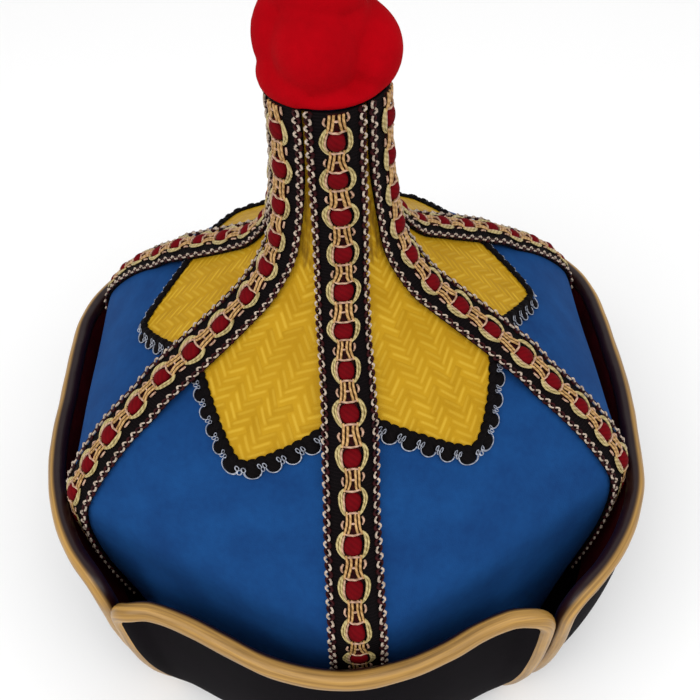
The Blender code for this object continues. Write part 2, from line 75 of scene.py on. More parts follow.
def curve(t: Points, start: Points, end: Points, slope_in: Points, slope_out: Points) -> Points:
    """Return the value at shares t of a span, from its values and its slopes at the two ends."""
    rise = end - start
    return start + slope_in * t + (3 * rise - 2 * slope_in - slope_out) * t**2 + (
        slope_in + slope_out - 2 * rise) * t**3


def through(values: Points, place: Points) -> Points:
    """Read a smooth curve that passes through evenly spaced values.

    Args:
        values: The values at places 0, 1, 2 and so on.
        place: The places to read.

    Returns:
        The curve's value at each place.
    """
    padded = np.concatenate([[2 * values[0] - values[1]], values, [2 * values[-1] - values[-2]]])
    span = np.clip(place.astype(int), 0, len(values) - 2)
    t = place - span
    before, here, there, after = (padded[span + step] for step in range(4))
    return curve(t, here, there, (there - before) / 2, (after - here) / 2)


def ease(value: Points, start: float, over: float) -> Points:
    """Step smoothly from 0 at start to 1 at start + over."""
    t = np.clip((value - start) / over, 0.0, 1.0)
    return t * t * (3.0 - 2.0 * t)


def running(steps: Points) -> Points:
    """Return the running total of steps, from 0."""
    return np.concatenate([[0.0], np.cumsum(steps)])


def around(radius: Points, angle: Points, height: Points) -> Points:
    """Return the points at distances from the hat's axis, bearings in radians and heights."""
    return np.stack([radius * np.sin(angle), -radius * np.cos(angle), height], axis=1)


def unit(vectors: Points) -> Points:
    """Return the vectors at length 1."""
    return vectors / np.linalg.norm(vectors, axis=1, keepdims=True)


@dataclass
class Crown:
    """The crown's outer face, which carries every sewn layer.

    A place on it is a distance down the seam from the top of the neck and a bearing round the hexagon.
    """

    stations: tuple[tuple[float, float, float], ...] = (
        (14.3, 213.0, 6.0), (14.9, 191.0, 7.0), (17.5, 170.0, 9.0), (21.3, 156.7, 11.0),
        (30.2, 144.8, 14.0), (40.9, 137.5, 18.0), (62.4, 125.2, 24.0), (85.2, 111.4, 28.0),
        (102.2, 94.4, 26.0), (107.0, 82.0, 22.0), (106.0, 58.0, 14.0), (101.2, 30.0, 7.0),
        (95.0, 0.0, 2.0),
    )
    seam_bearings: tuple[float, ...] = (0.0, 62.0, 118.5, 180.0, 240.0, 298.0, 360.0)
    neck_turns: tuple[tuple[float, float, float], ...] = ((4.6, 30.0, 50.0), (1.6, 80.0, 60.0))
    samples_per_span: int = 40
    swell: float = 0.7 * MM
    swells_from: float = 50.0 * MM
    swells_over: float = 40.0 * MM
    ripple: float = 0.22 * MM
    ripple_lengths: tuple[float, float] = (17.0 * MM, 9.0 * MM)
    step: float = 0.3 * MM
    turn: float = 0.003
    wander: float = 0.35 * MM
    wander_length: float = 23.0 * MM
    tries: int = 4

    def __post_init__(self) -> None:
        """Work out the seam line and the width of a gore along it."""
        table = np.array(self.stations)
        spans = len(table) - 1
        place = np.linspace(0.0, spans, spans * self.samples_per_span + 1)
        self.radii = through(table[:, 0], place) * MM
        self.heights = through(table[:, 1], place) * MM
        self.facets = through(table[:, 2], place)
        self.lengths = running(np.hypot(np.diff(self.radii), np.diff(self.heights)))
        self.seam_length = float(self.lengths[-1])
        across = np.linspace(0.0, GORE_TURN, 25)
        rows = [self.face(np.full_like(across, length), across) for length in self.lengths]
        self.widths = np.array([np.linalg.norm(np.diff(row, axis=0), axis=1).sum() for row in rows])

    def seam(self, length: Points) -> tuple[Points, Points, Points]:
        """Return the seam's radius, height and crispness at distances down it."""
        return tuple(np.interp(length, self.lengths, row) for row in (self.radii, self.heights, self.facets))

    def width(self, length: Points) -> Points:
        """Return a gore's width at distances down it."""
        return np.interp(length, self.lengths, self.widths)

    def face(self, length: Points, bearing: Points) -> Points:
        """Return the points of the bare form at the places."""
        radius, height, facets = self.seam(length)
        middles = (np.arange(GORE_COUNT) + 0.5) * GORE_TURN

        def reach(angle: Points) -> Points:
            facing = np.maximum(np.cos(angle[:, None] - middles), 0.0)
            return (facing ** facets[:, None]).sum(axis=1) ** (-1.0 / facets)

        radius = radius * reach(bearing) / reach(np.zeros_like(bearing))
        turns = np.floor(bearing / math.tau)
        even = np.arange(GORE_COUNT + 1) * GORE_TURN
        angle = turns * math.tau + np.interp(bearing - turns * math.tau, even, np.radians(self.seam_bearings))
        for degrees, start, over in self.neck_turns:
            angle = angle + math.radians(degrees) * (1.0 - ease(length, start * MM, over * MM))
        return around(radius, angle, height)

    def normal(self, length: Points, bearing: Points) -> Points:
        """Return the outward direction at the places."""
        down = self.face(length + self.step, bearing) - self.face(length - self.step, bearing)
        around = self.face(length, bearing + self.turn) - self.face(length, bearing - self.turn)
        return unit(np.cross(down, around))

    def relief(self, length: Points, bearing: Points) -> Points:
        """Return how far the velvet swells between its seams, with the slight waves of sewn cloth."""
        gore = np.floor(bearing / GORE_TURN)
        share = bearing / GORE_TURN - gore
        clear = np.sin(math.pi * share) ** 2 * ease(length, self.swells_from, self.swells_over)
        long, short = self.ripple_lengths
        waves = np.sin(length / long + 2.1 * gore) * np.sin(9.0 * share + 1.3 * gore)
        waves += 0.6 * np.sin(length / short + 5.0 * share + gore)
        return clear * (self.swell + self.ripple * waves)

    def point(self, length: Points, bearing: Points, lift: Points) -> Points:
        """Return points at a lift above the velvet."""
        length = np.clip(length, self.step, self.seam_length - self.step)
        lift = lift + self.relief(length, bearing)
        return self.face(length, bearing) + self.normal(length, bearing) * lift[:, None]

    def on_gore(self, gore: int, base: float = 0.0) -> Mapper:
        """Lay a flat pattern on one gore.

        Args:
            gore: The gore's index.
            base: The height above the velvet at which the pattern's z is 0.

        Returns:
            A function from flat points to points on the crown.
        """

        def lay(flat: Points) -> Points:
            length = -flat[:, 1]
            share = flat[:, 0] / self.width(length) + 0.5
            return self.point(length, (gore + share) * GORE_TURN, base + flat[:, 2])

        return lay

    def on_seam(self, seam: int, lift: Mapper, squeeze: Mapper) -> Mapper:
        """Lay a flat strip along one seam.

        Args:
            seam: The seam's index, 0 at the front.
            lift: The height of the strip's z = 0 at distances down the seam.
            squeeze: The share of its width that the strip keeps at distances down the seam.

        Returns:
            A function from flat points to points on the crown.
        """
        start = seam * GORE_TURN

        def lay(flat: Points) -> Points:
            wander = self.wander * np.sin(flat[:, 1] / self.wander_length + 1.7 * seam)
            length = np.clip(-flat[:, 1] + wander, self.step, self.seam_length - self.step)
            radius = self.seam(length)[0]
            offset = (flat[:, 0] * squeeze(length) + 0.5 * wander) * radius / (radius + lift(length))
            bearing = np.full_like(length, start)
            for _ in range(self.tries):
                half = (bearing + start) / 2
                across = self.face(length, half + self.turn) - self.face(length, half - self.turn)
                bearing = start + offset * 2 * self.turn / np.linalg.norm(across, axis=1)
            return self.point(length, bearing, lift(length) + flat[:, 2])

        return lay


@dataclass
class Collar:
    """The cut of the brocade collar: how far down each gore its panel reaches."""

    at_seam: float = 97.0 * MM
    points: tuple[float, ...] = (131.0, 126.0, 127.0, 127.0, 126.0, 128.5)
    rounding: float = 0.07
    skew: float = 0.32

    def edge(self, gore: int, share: Points) -> Points:
        """Return the distance down the crown of a panel's lower edge at shares of the gore's width."""
        off_middle = np.hypot(2.0 * share - 1.0 - self.skew * share * (1.0 - share), self.rounding)
        depth = self.points[gore] * MM - self.at_seam
        return self.at_seam + depth * (math.hypot(1.0, self.rounding) - off_middle)


def linear(colour: str) -> tuple[float, float, float, float]:
    """Turn an sRGB hex colour into the linear one that a shader takes."""
    parts = [int(colour[i:i + 2], 16) / 255.0 for i in (1, 3, 5)]
    red, green, blue = (c / 12.92 if c <= 0.04045 else ((c + 0.055) / 1.055) ** 2.4 for c in parts)
    return red, green, blue, 1.0


def add_node(tree: Tree, kind: str, links: dict | None = None, **settings) -> bpy.types.Node:
    """Add a node with its settings, values and links.

    Args:
        tree: The material's nodes.
        kind: The node's type.
        links: For each input, by name or index, the socket that feeds it or its value.
        **settings: The node's own properties.

    Returns:
        The new node.
    """
    node = tree.nodes.new(kind)
    for name, value in settings.items():
        setattr(node, name, value)
    for name, value in (links or {}).items():
        if isinstance(value, Socket):
            tree.links.new(value, node.inputs[name])
        else:
            node.inputs[name].default_value = value
    return node


def math_node(tree: Tree, operation: str, *values) -> Socket:
    """Add one step of arithmetic and return its result."""
    return add_node(tree, "ShaderNodeMath", dict(enumerate(values)), operation=operation).outputs[0]


def blend(tree: Tree, share, first, second) -> Socket:
    """Blend two colours by a share and return the result."""
    node = add_node(tree, "ShaderNodeMix", {0: share, 6: first, 7: second}, data_type="RGBA")
    return node.outputs[2]


def choose(tree: Tree, share, first, second) -> Socket:
    """Return the first value where the share is 0 and the second where it is 1."""
    return add_node(tree, "ShaderNodeMix", {0: share, 2: first, 3: second}).outputs[0]


def ramp(tree: Tree, value, start: float, end: float, eased: bool = False) -> Socket:
    """Rise from 0 to 1 as a value goes from start to end, evenly or with eased ends."""
    kind = "SMOOTHSTEP" if eased else "LINEAR"
    node = add_node(tree, "ShaderNodeMapRange", {0: value, 1: start, 2: end}, interpolation_type=kind)
    return node.outputs[0]


def off_by(tree: Tree, value, middle: float) -> Socket:
    """Return how far a value is from a middle one."""
    return math_node(tree, "ABSOLUTE", math_node(tree, "SUBTRACT", value, middle))


def vector_math(tree: Tree, operation: str, links: dict) -> Socket:
    """Add one step of arithmetic on vectors or colours and return its result."""
    return add_node(tree, "ShaderNodeVectorMath", links, operation=operation).outputs[0]


def axis(tree: Tree, vector, index: int) -> Socket:
    """Return one part of a vector."""
    return add_node(tree, "ShaderNodeSeparateXYZ", {0: vector}).outputs[index]


def flat_place(tree: Tree) -> Socket:
    """Return the place in a piece's flat pattern."""
    return add_node(tree, "ShaderNodeUVMap", uv_map="cloth").outputs[0]


def drawn_out(tree: Tree, vector, share: float) -> Socket:
    """Return a place that lets a pattern run on along y, its y taken to a share."""
    return add_node(tree, "ShaderNodeMapping", {"Vector": vector, "Scale": (1.0, share, 1.0)}).outputs[0]


def wave(tree: Tree, vector, pitch: float, distortion: float, way: str) -> Socket:
    """Return even ridges at a pitch in metres, their way being a name of the wave node's directions."""
    links = {"Vector": vector, "Scale": RIDGE_SCALE / pitch, "Distortion": distortion}
    return add_node(tree, "ShaderNodeTexWave", links, bands_direction=way).outputs["Fac"]


def noise(tree: Tree, vector, size: float, detail: float = 2.0) -> Socket:
    """Add cloudy noise whose patches are about a size in metres, and return its value."""
    node = add_node(tree, "ShaderNodeTexNoise", {"Vector": vector, "Scale": 1.0 / size, "Detail": detail})
    return node.outputs["Fac"]


@dataclass(frozen=True)
class Finish:
    """A cloth's finish: its colours and what its surface gives the light."""

    name: str
    colour: str
    shade: str
    roughness: float = 0.8
    sheen: float = 0.0
    sheen_colour: str = "#ffffff"
    specular: float = 0.3

    def start(self, **more: float) -> tuple[bpy.types.Material, Tree]:
        """Make the material with its plain values, and any more that are given, set on the shader."""
        material = bpy.data.materials.new(self.name)
        material.use_nodes = True
        tree = material.node_tree
        values = {"Roughness": self.roughness, "Sheen Weight": self.sheen, "Sheen Roughness": 0.45,
                  "Sheen Tint": linear(self.sheen_colour), "Specular IOR Level": self.specular, **more}
        for name, value in values.items():
            tree.nodes["Principled BSDF"].inputs[name].default_value = value
        return material, tree

    def toned(self, tree: Tree, share) -> Socket:
        """Blend from the shade to the colour by a share."""
        return blend(tree, share, linear(self.shade), linear(self.colour))

    def finish(self, tree: Tree, colour, height, depth: float) -> None:
        """Give the shader its colour, and raise the surface by a height times a depth in metres."""
        shader = tree.nodes["Principled BSDF"]
        bump = add_node(tree, "ShaderNodeBump", {"Height": height, "Distance": depth, "Strength": 1.0})
        tree.links.new(bump.outputs[0], shader.inputs["Normal"])
        tree.links.new(colour, shader.inputs["Base Color"])


@dataclass(frozen=True)
class Velvet(Finish):
    """Cut-pile velvet: deep matt colour that lightens where the pile is brushed or seen side on."""

    crush: float = 14.0 * MM
    pile: float = 0.5 * MM
    depth: float = 0.05 * MM
    hem_gain: float = 1.0
    hem_from: float = 80.0 * MM
    hem_to: float = 40.0 * MM

    def make(self) -> bpy.types.Material:
        """Build the material. The real pile is 0.1 mm, drawn at 0.5 mm so that it shows.

        hem_gain lightens the crown's velvet towards the hem, to make up for the shade that the studio's own
        light casts behind the brim and that the photograph doesn't have. 1.0 leaves it out.
        """
        material, tree = self.start()
        place = add_node(tree, "ShaderNodeTexCoord").outputs["Object"]
        brushed = noise(tree, place, self.crush, 3.0)
        fine = noise(tree, place, self.pile * 4.0, 2.0)
        share = math_node(tree, "ADD", brushed, math_node(tree, "MULTIPLY", fine, 0.35))
        colour = self.toned(tree, ramp(tree, share, 0.45, 0.9))
        gain = add_node(tree, "ShaderNodeMapRange", {
            0: axis(tree, place, 2), 1: self.hem_from, 2: self.hem_to, 3: 1.0, 4: self.hem_gain}).outputs[0]
        colour = vector_math(tree, "SCALE", {0: colour, "Scale": gain})
        height = math_node(tree, "ADD", noise(tree, place, self.pile, 1.0),
                           math_node(tree, "MULTIPLY", brushed, 2.0))
        self.finish(tree, colour, height, self.depth)
        return material


@dataclass(frozen=True)
class Brocade(Finish):
    """Satin brocade with a herringbone of long floats that catch the light in turn."""

    strip: float = 2.55 * MM
    strips_long: float = 3.0
    tilt: float = math.radians(-38.0)
    waver: float = 3.0 * MM
    depth: float = 0.1 * MM
    thread: float = 0.35 * MM
    gleam: str = "#cba636"
    # painted shade: the darker colour that the pleats by the neck are blended towards
    painted_pleat_shade: str = "#7a5913"
    gathers_from: float = 66.0 * MM
    gathers_over: float = 16.0 * MM
    pleat: float = 1.5 * MM
    waver_size: float = 1.0 / 38.0

    def make(self) -> bpy.types.Material:
        """Build the material in the panel's own flat pattern.

        Each float has a tone of its own and a lit edge. By the neck the cloth is drawn into fine pleats,
        which are darkened with painted shade.
        """
        material, tree = self.start()
        cloth = flat_place(tree)
        down = axis(tree, cloth, 1)
        near = ramp(tree, down, -self.gathers_from, self.gathers_over - self.gathers_from, True)
        pleats = math_node(tree, "MULTIPLY", noise(tree, drawn_out(tree, cloth, 0.16), self.pleat, 3.0), near)
        waver = add_node(tree, "ShaderNodeTexNoise", {
            "Vector": cloth, "Scale": 1.0 / self.waver_size, "Detail": 1.0}).outputs["Color"]
        moved = vector_math(tree, "MULTIPLY", {0: waver, 1: (self.waver,) * 3})
        cloth = vector_math(tree, "ADD", {0: cloth, 1: moved})
        turned = add_node(tree, "ShaderNodeMapping", {
            "Vector": cloth, "Rotation": (0.0, 0.0, self.tilt), "Scale": (1.0 / self.strip,) * 3}).outputs[0]
        along, across, own = self.herringbone(tree, axis(tree, turned, 0), axis(tree, turned, 1))
        tone = add_node(tree, "ShaderNodeTexWhiteNoise", {"Vector": own}).outputs["Value"]
        ends = off_by(tree, math_node(tree, "DIVIDE", along, self.strips_long), 0.5)
        dome = ramp(tree, off_by(tree, across, 0.5), 0.5, 0.05, True)
        taper = ramp(tree, ends, 0.5, 0.3, True)
        weave = add_node(tree, "ShaderNodeTexWave", {
            "Vector": cloth, "Scale": 0.05 / self.thread, "Distortion": 1.0}).outputs["Fac"]
        height = math_node(tree, "ADD", math_node(tree, "MULTIPLY", dome, taper),
                           math_node(tree, "MULTIPLY", weave, 0.12))
        height = math_node(tree, "MULTIPLY_ADD", pleats, 6.0, height)
        cloudy = math_node(tree, "MULTIPLY_ADD", noise(tree, cloth, 9.0 * MM), 0.7,
                           math_node(tree, "MULTIPLY", tone, 0.5))
        lit = math_node(tree, "MULTIPLY", ramp(tree, off_by(tree, across, 0.7), 0.3, 0.04, True), taper)
        strength = math_node(tree, "MULTIPLY_ADD", tone, 0.4, 0.25)
        gleaming = blend(tree, math_node(tree, "MULTIPLY", lit, strength), self.toned(tree, cloudy),
                         linear(self.gleam))
        # painted shade: the pleats by the neck are darkened towards the pleat shade colour
        colour = blend(tree, ramp(tree, pleats, 0.38, 0.62), gleaming, linear(self.painted_pleat_shade))
        self.finish(tree, colour, height, self.depth)
        return material

    def herringbone(self, tree: Tree, x, y) -> tuple[Socket, ...]:
        """Lay out the floats on a grid of strips, level ones and upright ones in steps.

        Args:
            tree: The material's nodes.
            x: The place across the grid, in strips.
            y: The place up the grid, in strips.

        Returns:
            The place along a float in strips, the place across it from 0 to 1, and a vector all its own.
        """
        column, row = math_node(tree, "FLOOR", x), math_node(tree, "FLOOR", y)
        both = 2.0 * self.strips_long
        cell = math_node(tree, "FLOORED_MODULO", math_node(tree, "SUBTRACT", column, row), both)
        level = math_node(tree, "LESS_THAN", cell, self.strips_long - 0.5)
        upright = math_node(tree, "SUBTRACT", math_node(tree, "SUBTRACT", y, column), 1.0)
        run = choose(tree, level, upright, math_node(tree, "SUBTRACT", x, row))
        across = choose(tree, level, math_node(tree, "FRACT", x), math_node(tree, "FRACT", y))
        number = math_node(tree, "FLOOR", math_node(tree, "DIVIDE", run, both))
        start = choose(tree, level, column, row)
        own = add_node(tree, "ShaderNodeCombineXYZ", {0: start, 1: number, 2: level}).outputs[0]
        return math_node(tree, "FLOORED_MODULO", run, both), across, own


@dataclass(frozen=True)
class Thread(Finish):
    """Twisted yarn: small slanted ridges, each with its own tone."""

    twist: float = 0.9 * MM
    metal: float = 0.0
    depth: float = 0.08 * MM

    def make(self) -> bpy.types.Material:
        """Build the material in the trim's flat pattern. The twist is drawn twice as coarse as it is."""
        material, tree = self.start(Metallic=self.metal)
        place = add_node(tree, "ShaderNodeTexCoord").outputs["Object"]
        ridges = wave(tree, flat_place(tree), self.twist, 0.6, "DIAGONAL")
        tone = math_node(tree, "MULTIPLY_ADD", ridges, 0.4, noise(tree, place, 2.5 * MM))
        self.finish(tree, self.toned(tree, ramp(tree, tone, 0.35, 0.95)), ridges, self.depth)
        return material


@dataclass(frozen=True)
class Satin(Finish):
    """Satin strip: fine warp lines along it, a soft gleam and slight pulls where it is drawn round.

    Its inner side, half way round from the outer one, is drawn dark, as the photograph's side rims look.
    Whether that is the cloth or its shade can't be told from the photograph.
    """

    line: float = 0.5 * MM
    depth: float = 0.07 * MM
    inner: str = "#1c0608"
    girth: float = 19.48 * MM

    def make(self) -> bpy.types.Material:
        """Build the material in the strip's own pattern, its lines running along y."""
        material, tree = self.start()
        cloth = flat_place(tree)
        stretched = drawn_out(tree, cloth, 0.03)
        lines = noise(tree, stretched, self.line, 3.0)
        broad = noise(tree, stretched, 3.0 * self.line, 1.0)
        tone = math_node(tree, "MULTIPLY_ADD", broad, 0.7, math_node(tree, "MULTIPLY", lines, 0.5))
        outer = self.toned(tree, ramp(tree, tone, 0.42, 0.78))
        turn = math_node(tree, "DIVIDE", axis(tree, cloth, 0), self.girth)
        inward = ramp(tree, off_by(tree, turn, 0.5), 0.27, 0.18, True)
        height = math_node(tree, "MULTIPLY_ADD", noise(tree, cloth, 5.0 * MM, 1.0), 2.5, lines)
        self.finish(tree, blend(tree, inward, outer, linear(self.inner)), height, self.depth)
        return material


@dataclass(frozen=True)
class Grosgrain(Finish):
    """Ribbed ribbon: even ribs across it that show as dull lines."""

    rib: float = 1.1 * MM
    depth: float = 0.25 * MM

    def make(self) -> bpy.types.Material:
        """Build the material in the ribbon's own pattern. The ribs are drawn at twice their real pitch."""
        material, tree = self.start()
        cloth = flat_place(tree)
        ribs = wave(tree, cloth, self.rib, 0.8, "Y")
        height = math_node(tree, "MULTIPLY_ADD", noise(tree, cloth, 1.2 * MM), 0.8, ribs)
        self.finish(tree, self.toned(tree, ramp(tree, height, 0.4, 1.6)), height, self.depth)
        return material


class Cloth(Enum):
    """Every finish of the hat, by what it is."""

    BLUE_VELVET = Velvet("blue_cotton_velvet", "#144278", "#103668", 0.88, 0.07, "#3f78c0", 0.08,
                         hem_gain=2.6)
    BLACK_VELVET = Velvet("black_cotton_velvet", "#070307", "#030103", 0.9, 0.03, "#30283c", 0.05)
    WINE_VELVET = Velvet("wine_cotton_velvet", "#5c0a12", "#3c060b", 0.9, 0.04, "#7a1a20", 0.08)
    RED_VELVET = Velvet("red_nylon_velvet", "#a1000b", "#920009", 0.9, 0.03, "#e01020", 0.04)
    FELT_BACK = Velvet("grey_felt_backing", "#5c5f66", "#4a4d54", 0.95, 0.0, "#ffffff", 0.1)
    BROCADE = Brocade("yellow_satin_brocade", "#b68c1a", "#a0770e", 0.5, 0.0, "#ffe27a", 0.05)
    RIBBON = Grosgrain("black_grosgrain", "#0e080a", "#060304", 0.85, 0.0, "#403840", 0.08)
    BLACK_YARN = Thread("black_rayon_yarn", "#080405", "#030102", 0.8, 0.0, "#ffffff", 0.08)
    PICOT_YARN = Thread("dark_wine_rayon_yarn", "#33080c", "#150507", 0.7, 0.0, "#ffffff", 0.12)
    CREAM_YARN = Thread("cream_rayon_yarn", "#c2b1a0", "#8a796a", 0.6, 0.0, "#ffffff", 0.2)
    SILVER_YARN = Thread("silver_lurex_yarn", "#a9adb8", "#6a6d78", 0.4, 0.0, "#ffffff", 0.5, metal=0.3)
    GOLD_YARN = Thread("gold_rayon_yarn", "#c69d66", "#8e6836", 0.45, 0.0, "#ffe6b0", 0.3, metal=0.1)
    PALE_YARN = Thread("pale_gold_rayon_yarn", "#bfad78", "#8a7848", 0.45, 0.0, "#fff2c8", 0.3, metal=0.1)
    ROSE_YARN = Thread("rose_gold_rayon_yarn", "#c39f86", "#88664f", 0.45, 0.0, "#ffe6d0", 0.3)
    RED_FLOSS = Thread("dark_red_floss", "#66020a", "#560107", 0.75, 0.0, "#ff5060", 0.06, depth=0.01 * MM)
    WINE_FLOSS = Thread("dark_wine_floss", "#300707", "#160303", 0.8, 0.0, "#ffffff", 0.1)
    GOLD_SATIN = Satin("old_gold_satin", "#b58a44", "#7c5c2c", 0.36, 0.0, "#ffe9b8", 0.35)


class Wardrobe:
    """The materials, each made when it is first asked for."""

    def __init__(self) -> None:
        """Start with no material made."""
        self.made: dict[Cloth, bpy.types.Material] = {}

    def take(self, cloth: Cloth) -> bpy.types.Material:
        """Return a finish's material."""
        if cloth not in self.made:
            self.made[cloth] = cloth.value.make()
        return self.made[cloth]


def select_only(*pieces: bpy.types.Object) -> None:
    """Select these pieces alone and make the first active."""
    bpy.ops.object.select_all(action="DESELECT")
    for piece in pieces:
        piece.select_set(True)
    bpy.context.view_layer.objects.active = pieces[0]


def read_points(piece: bpy.types.Object) -> Points:
    """Return a mesh's points."""
    flat = np.zeros(len(piece.data.vertices) * 3, np.float32)
    piece.data.vertices.foreach_get("co", flat)
    return flat.reshape(-1, 3).astype(float)


def write_points(piece: bpy.types.Object, points: Points) -> None:
    """Move a mesh's points."""
    piece.data.vertices.foreach_set("co", points.astype(np.float32).ravel())
    piece.data.update()


def keep_above_floor(piece: bpy.types.Object) -> None:
    """Flatten whatever of a piece reaches below the surface that the hat rests on."""
    points = read_points(piece)
    write_points(piece, np.column_stack([points[:, :2], np.maximum(points[:, 2], 0.0)]))


def mark_cloth(piece: bpy.types.Object) -> None:
    """Keep a mesh's flat pattern as its UV map, in metres."""
    points = read_points(piece)[:, :2]
    corners = np.zeros(len(piece.data.loops), np.int32)
    piece.data.loops.foreach_get("vertex_index", corners)
    layer = piece.data.uv_layers.get("cloth") or piece.data.uv_layers.new(name="cloth")
    layer.data.foreach_set("uv", points[corners].astype(np.float32).ravel())


def flat_area(piece: bpy.types.Object) -> float:
    """Return the area of a flat pattern in square metres."""
    return float(sum(face.area for face in piece.data.polygons))


def cut_grid(name: str, columns: int, rows: int) -> bpy.types.Object:
    """Cut a unit square of cloth, from 0 to 1 across and 0 to 1 up."""
    bpy.ops.object.select_all(action="DESELECT")
    bpy.ops.mesh.primitive_grid_add(x_subdivisions=columns, y_subdivisions=rows, size=1.0,
                                    location=(0.5, 0.5, 0.0))
    piece = bpy.context.object
    piece.name = name
    bpy.ops.object.transform_apply(location=True, rotation=False, scale=False)
    return piece


def ball(centre: Triple, mesh: tuple[int, int], radius: float = 1.0,
         scale: Triple = (1.0, 1.0, 1.0)) -> bpy.types.Object:
    """Add a ball.

    Args:
        centre: Its middle.
        mesh: Its segments and its rings.
        radius: Its radius before it is scaled.
        scale: How it is scaled along each axis.

    Returns:
        The ball.
    """
    bpy.ops.object.select_all(action="DESELECT")
    bpy.ops.mesh.primitive_uv_sphere_add(segments=mesh[0], ring_count=mesh[1], radius=radius,
                                         location=centre, scale=scale)
    bpy.ops.object.transform_apply(location=True, rotation=True, scale=True)
    return bpy.context.object


def dress(piece: bpy.types.Object, *materials: bpy.types.Material) -> bpy.types.Object:
    """Give a piece its materials."""
    piece.data.materials.clear()
    for material in materials:
        piece.data.materials.append(material)
    return piece


def spun_yarn(name: str, runs: Iterable[Points], radius: float, material: bpy.types.Material,
              taper: float = 1.0) -> bpy.types.Object:
    """Lay runs of yarn as round strands.

    Args:
        name: The piece's name.
        runs: The points that each strand follows.
        radius: The yarn's radius in metres.
        material: The yarn's material.
        taper: The share of its radius that a strand has at its two ends.

    Returns:
        One mesh of all the strands.
    """
    curve = bpy.data.curves.new(name, "CURVE")
    curve.dimensions = "3D"
    curve.bevel_depth = radius
    curve.bevel_resolution = 1
    curve.use_fill_caps = True
    for run in runs:
        strand = curve.splines.new("POLY")
        strand.points.add(len(run) - 1)
        strand.points.foreach_set("co", np.column_stack([run, np.ones(len(run))]).ravel())
        fullness = taper + (1.0 - taper) * np.sin(np.linspace(0.0, math.pi, len(run)))
        strand.points.foreach_set("radius", fullness)
    piece = bpy.data.objects.new(name, curve)
    bpy.context.scene.collection.objects.link(piece)
    select_only(piece)
    bpy.ops.object.convert(target="MESH")
    return dress(bpy.context.object, material)


def join(name: str, pieces: list[bpy.types.Object]) -> bpy.types.Object:
    """Join pieces into one with their finishes kept."""
    select_only(*pieces)
    bpy.ops.object.join()
    piece = bpy.context.object
    piece.name = name
    piece.data.name = name
    return piece


def copy_of(piece: bpy.types.Object, name: str) -> bpy.types.Object:
    """Copy a piece, with a mesh of its own."""
    twin = piece.copy()
    twin.data = piece.data.copy()
    twin.name = name
    twin.data.name = name
    bpy.context.scene.collection.objects.link(twin)
    return twin


def discard(piece: bpy.types.Object) -> None:
    """Remove a piece that was only a pattern."""
    mesh = piece.data
    bpy.data.objects.remove(piece)
    bpy.data.meshes.remove(mesh)


def modify(piece: bpy.types.Object, kind: str, **settings) -> None:
    """Add a modifier with its settings and apply it."""
    select_only(piece)
    modifier = piece.modifiers.new(kind.title(), kind)
    for name, value in settings.items():
        setattr(modifier, name, value)
    bpy.ops.object.modifier_apply(modifier=modifier.name)


def thicken(piece: bpy.types.Object, thickness: float, **settings) -> None:
    """Give a cloth its thickness, inwards from its outer face."""
    modify(piece, "SOLIDIFY", thickness=thickness, offset=-1.0, **settings)


def cut_through(piece: bpy.types.Object, place: Triple, normal: Triple, **drop: bool) -> None:
    """Cut a piece through at a plane, drop the side that is named and close the cut."""
    select_only(piece)
    bpy.ops.object.mode_set(mode="EDIT")
    bpy.ops.mesh.select_all(action="SELECT")
    bpy.ops.mesh.bisect(plane_co=place, plane_no=normal, use_fill=True, **drop)
    bpy.ops.object.mode_set(mode="OBJECT")


def flatten_foot(piece: bpy.types.Object) -> None:
    """Cut away what is below a trim's flat pattern."""
    cut_through(piece, (0, 0, 0), (0, 0, 1), clear_inner=True)


def close_tube(piece: bpy.types.Object) -> None:
    """Weld a rolled strip along its seam and close its two ends."""
    select_only(piece)
    bpy.ops.object.mode_set(mode="EDIT")
    bpy.ops.mesh.select_all(action="SELECT")
    bpy.ops.mesh.remove_doubles(threshold=0.01 * MM)
    bpy.ops.mesh.select_all(action="DESELECT")
    bpy.ops.mesh.select_non_manifold()
    bpy.ops.mesh.edge_face_add()
    bpy.ops.mesh.select_all(action="SELECT")
    bpy.ops.mesh.normals_make_consistent(inside=False)
    bpy.ops.object.mode_set(mode="OBJECT")


def repeat(piece: bpy.types.Object, count: int, step: Triple) -> None:
    """Repeat a motif in a row."""
    modify(piece, "ARRAY", count=count, use_relative_offset=False, use_constant_offset=True,
           constant_offset_displace=step)


def smooth(piece: bpy.types.Object) -> None:
    """Shade a piece smooth, with its cut edges crisp."""
    select_only(piece)
    bpy.ops.object.shade_smooth_by_angle(angle=CRISP_ANGLE)


def hand_over(piece: bpy.types.Object, slot: str, *nodes: str) -> None:
    """Put a finished piece on the hat's body, in place of its solids, and report it."""
    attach(piece, BODY)
    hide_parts(*nodes)
    LOG.info("%s: %d faces, stands for %s", piece.name, len(piece.data.polygons), ", ".join(nodes))


def cut_panel(crown: Crown, name: str, grid: tuple[int, int], top: float,
              foot: Mapper) -> tuple[bpy.types.Object, Points, float]:
    """Cut a panel flat, as wide as its gore.

    Args:
        crown: The crown that it is for.
        name: The piece's name.
        grid: The panel's columns and rows.
        top: The distance down the crown at which it starts.
        foot: The distance at which it ends, at shares of the gore's width.

    Returns:
        The piece, its flat points and its flat area.
    """
    piece = cut_grid(name, *grid)
    points = read_points(piece)
    length = top + (foot(points[:, 0]) - top) * (1.0 - points[:, 1])
    points[:, 0] = (points[:, 0] - 0.5) * crown.width(length)
    points[:, 1] = -length
    write_points(piece, points)
    mark_cloth(piece)
    return piece, points, flat_area(piece)


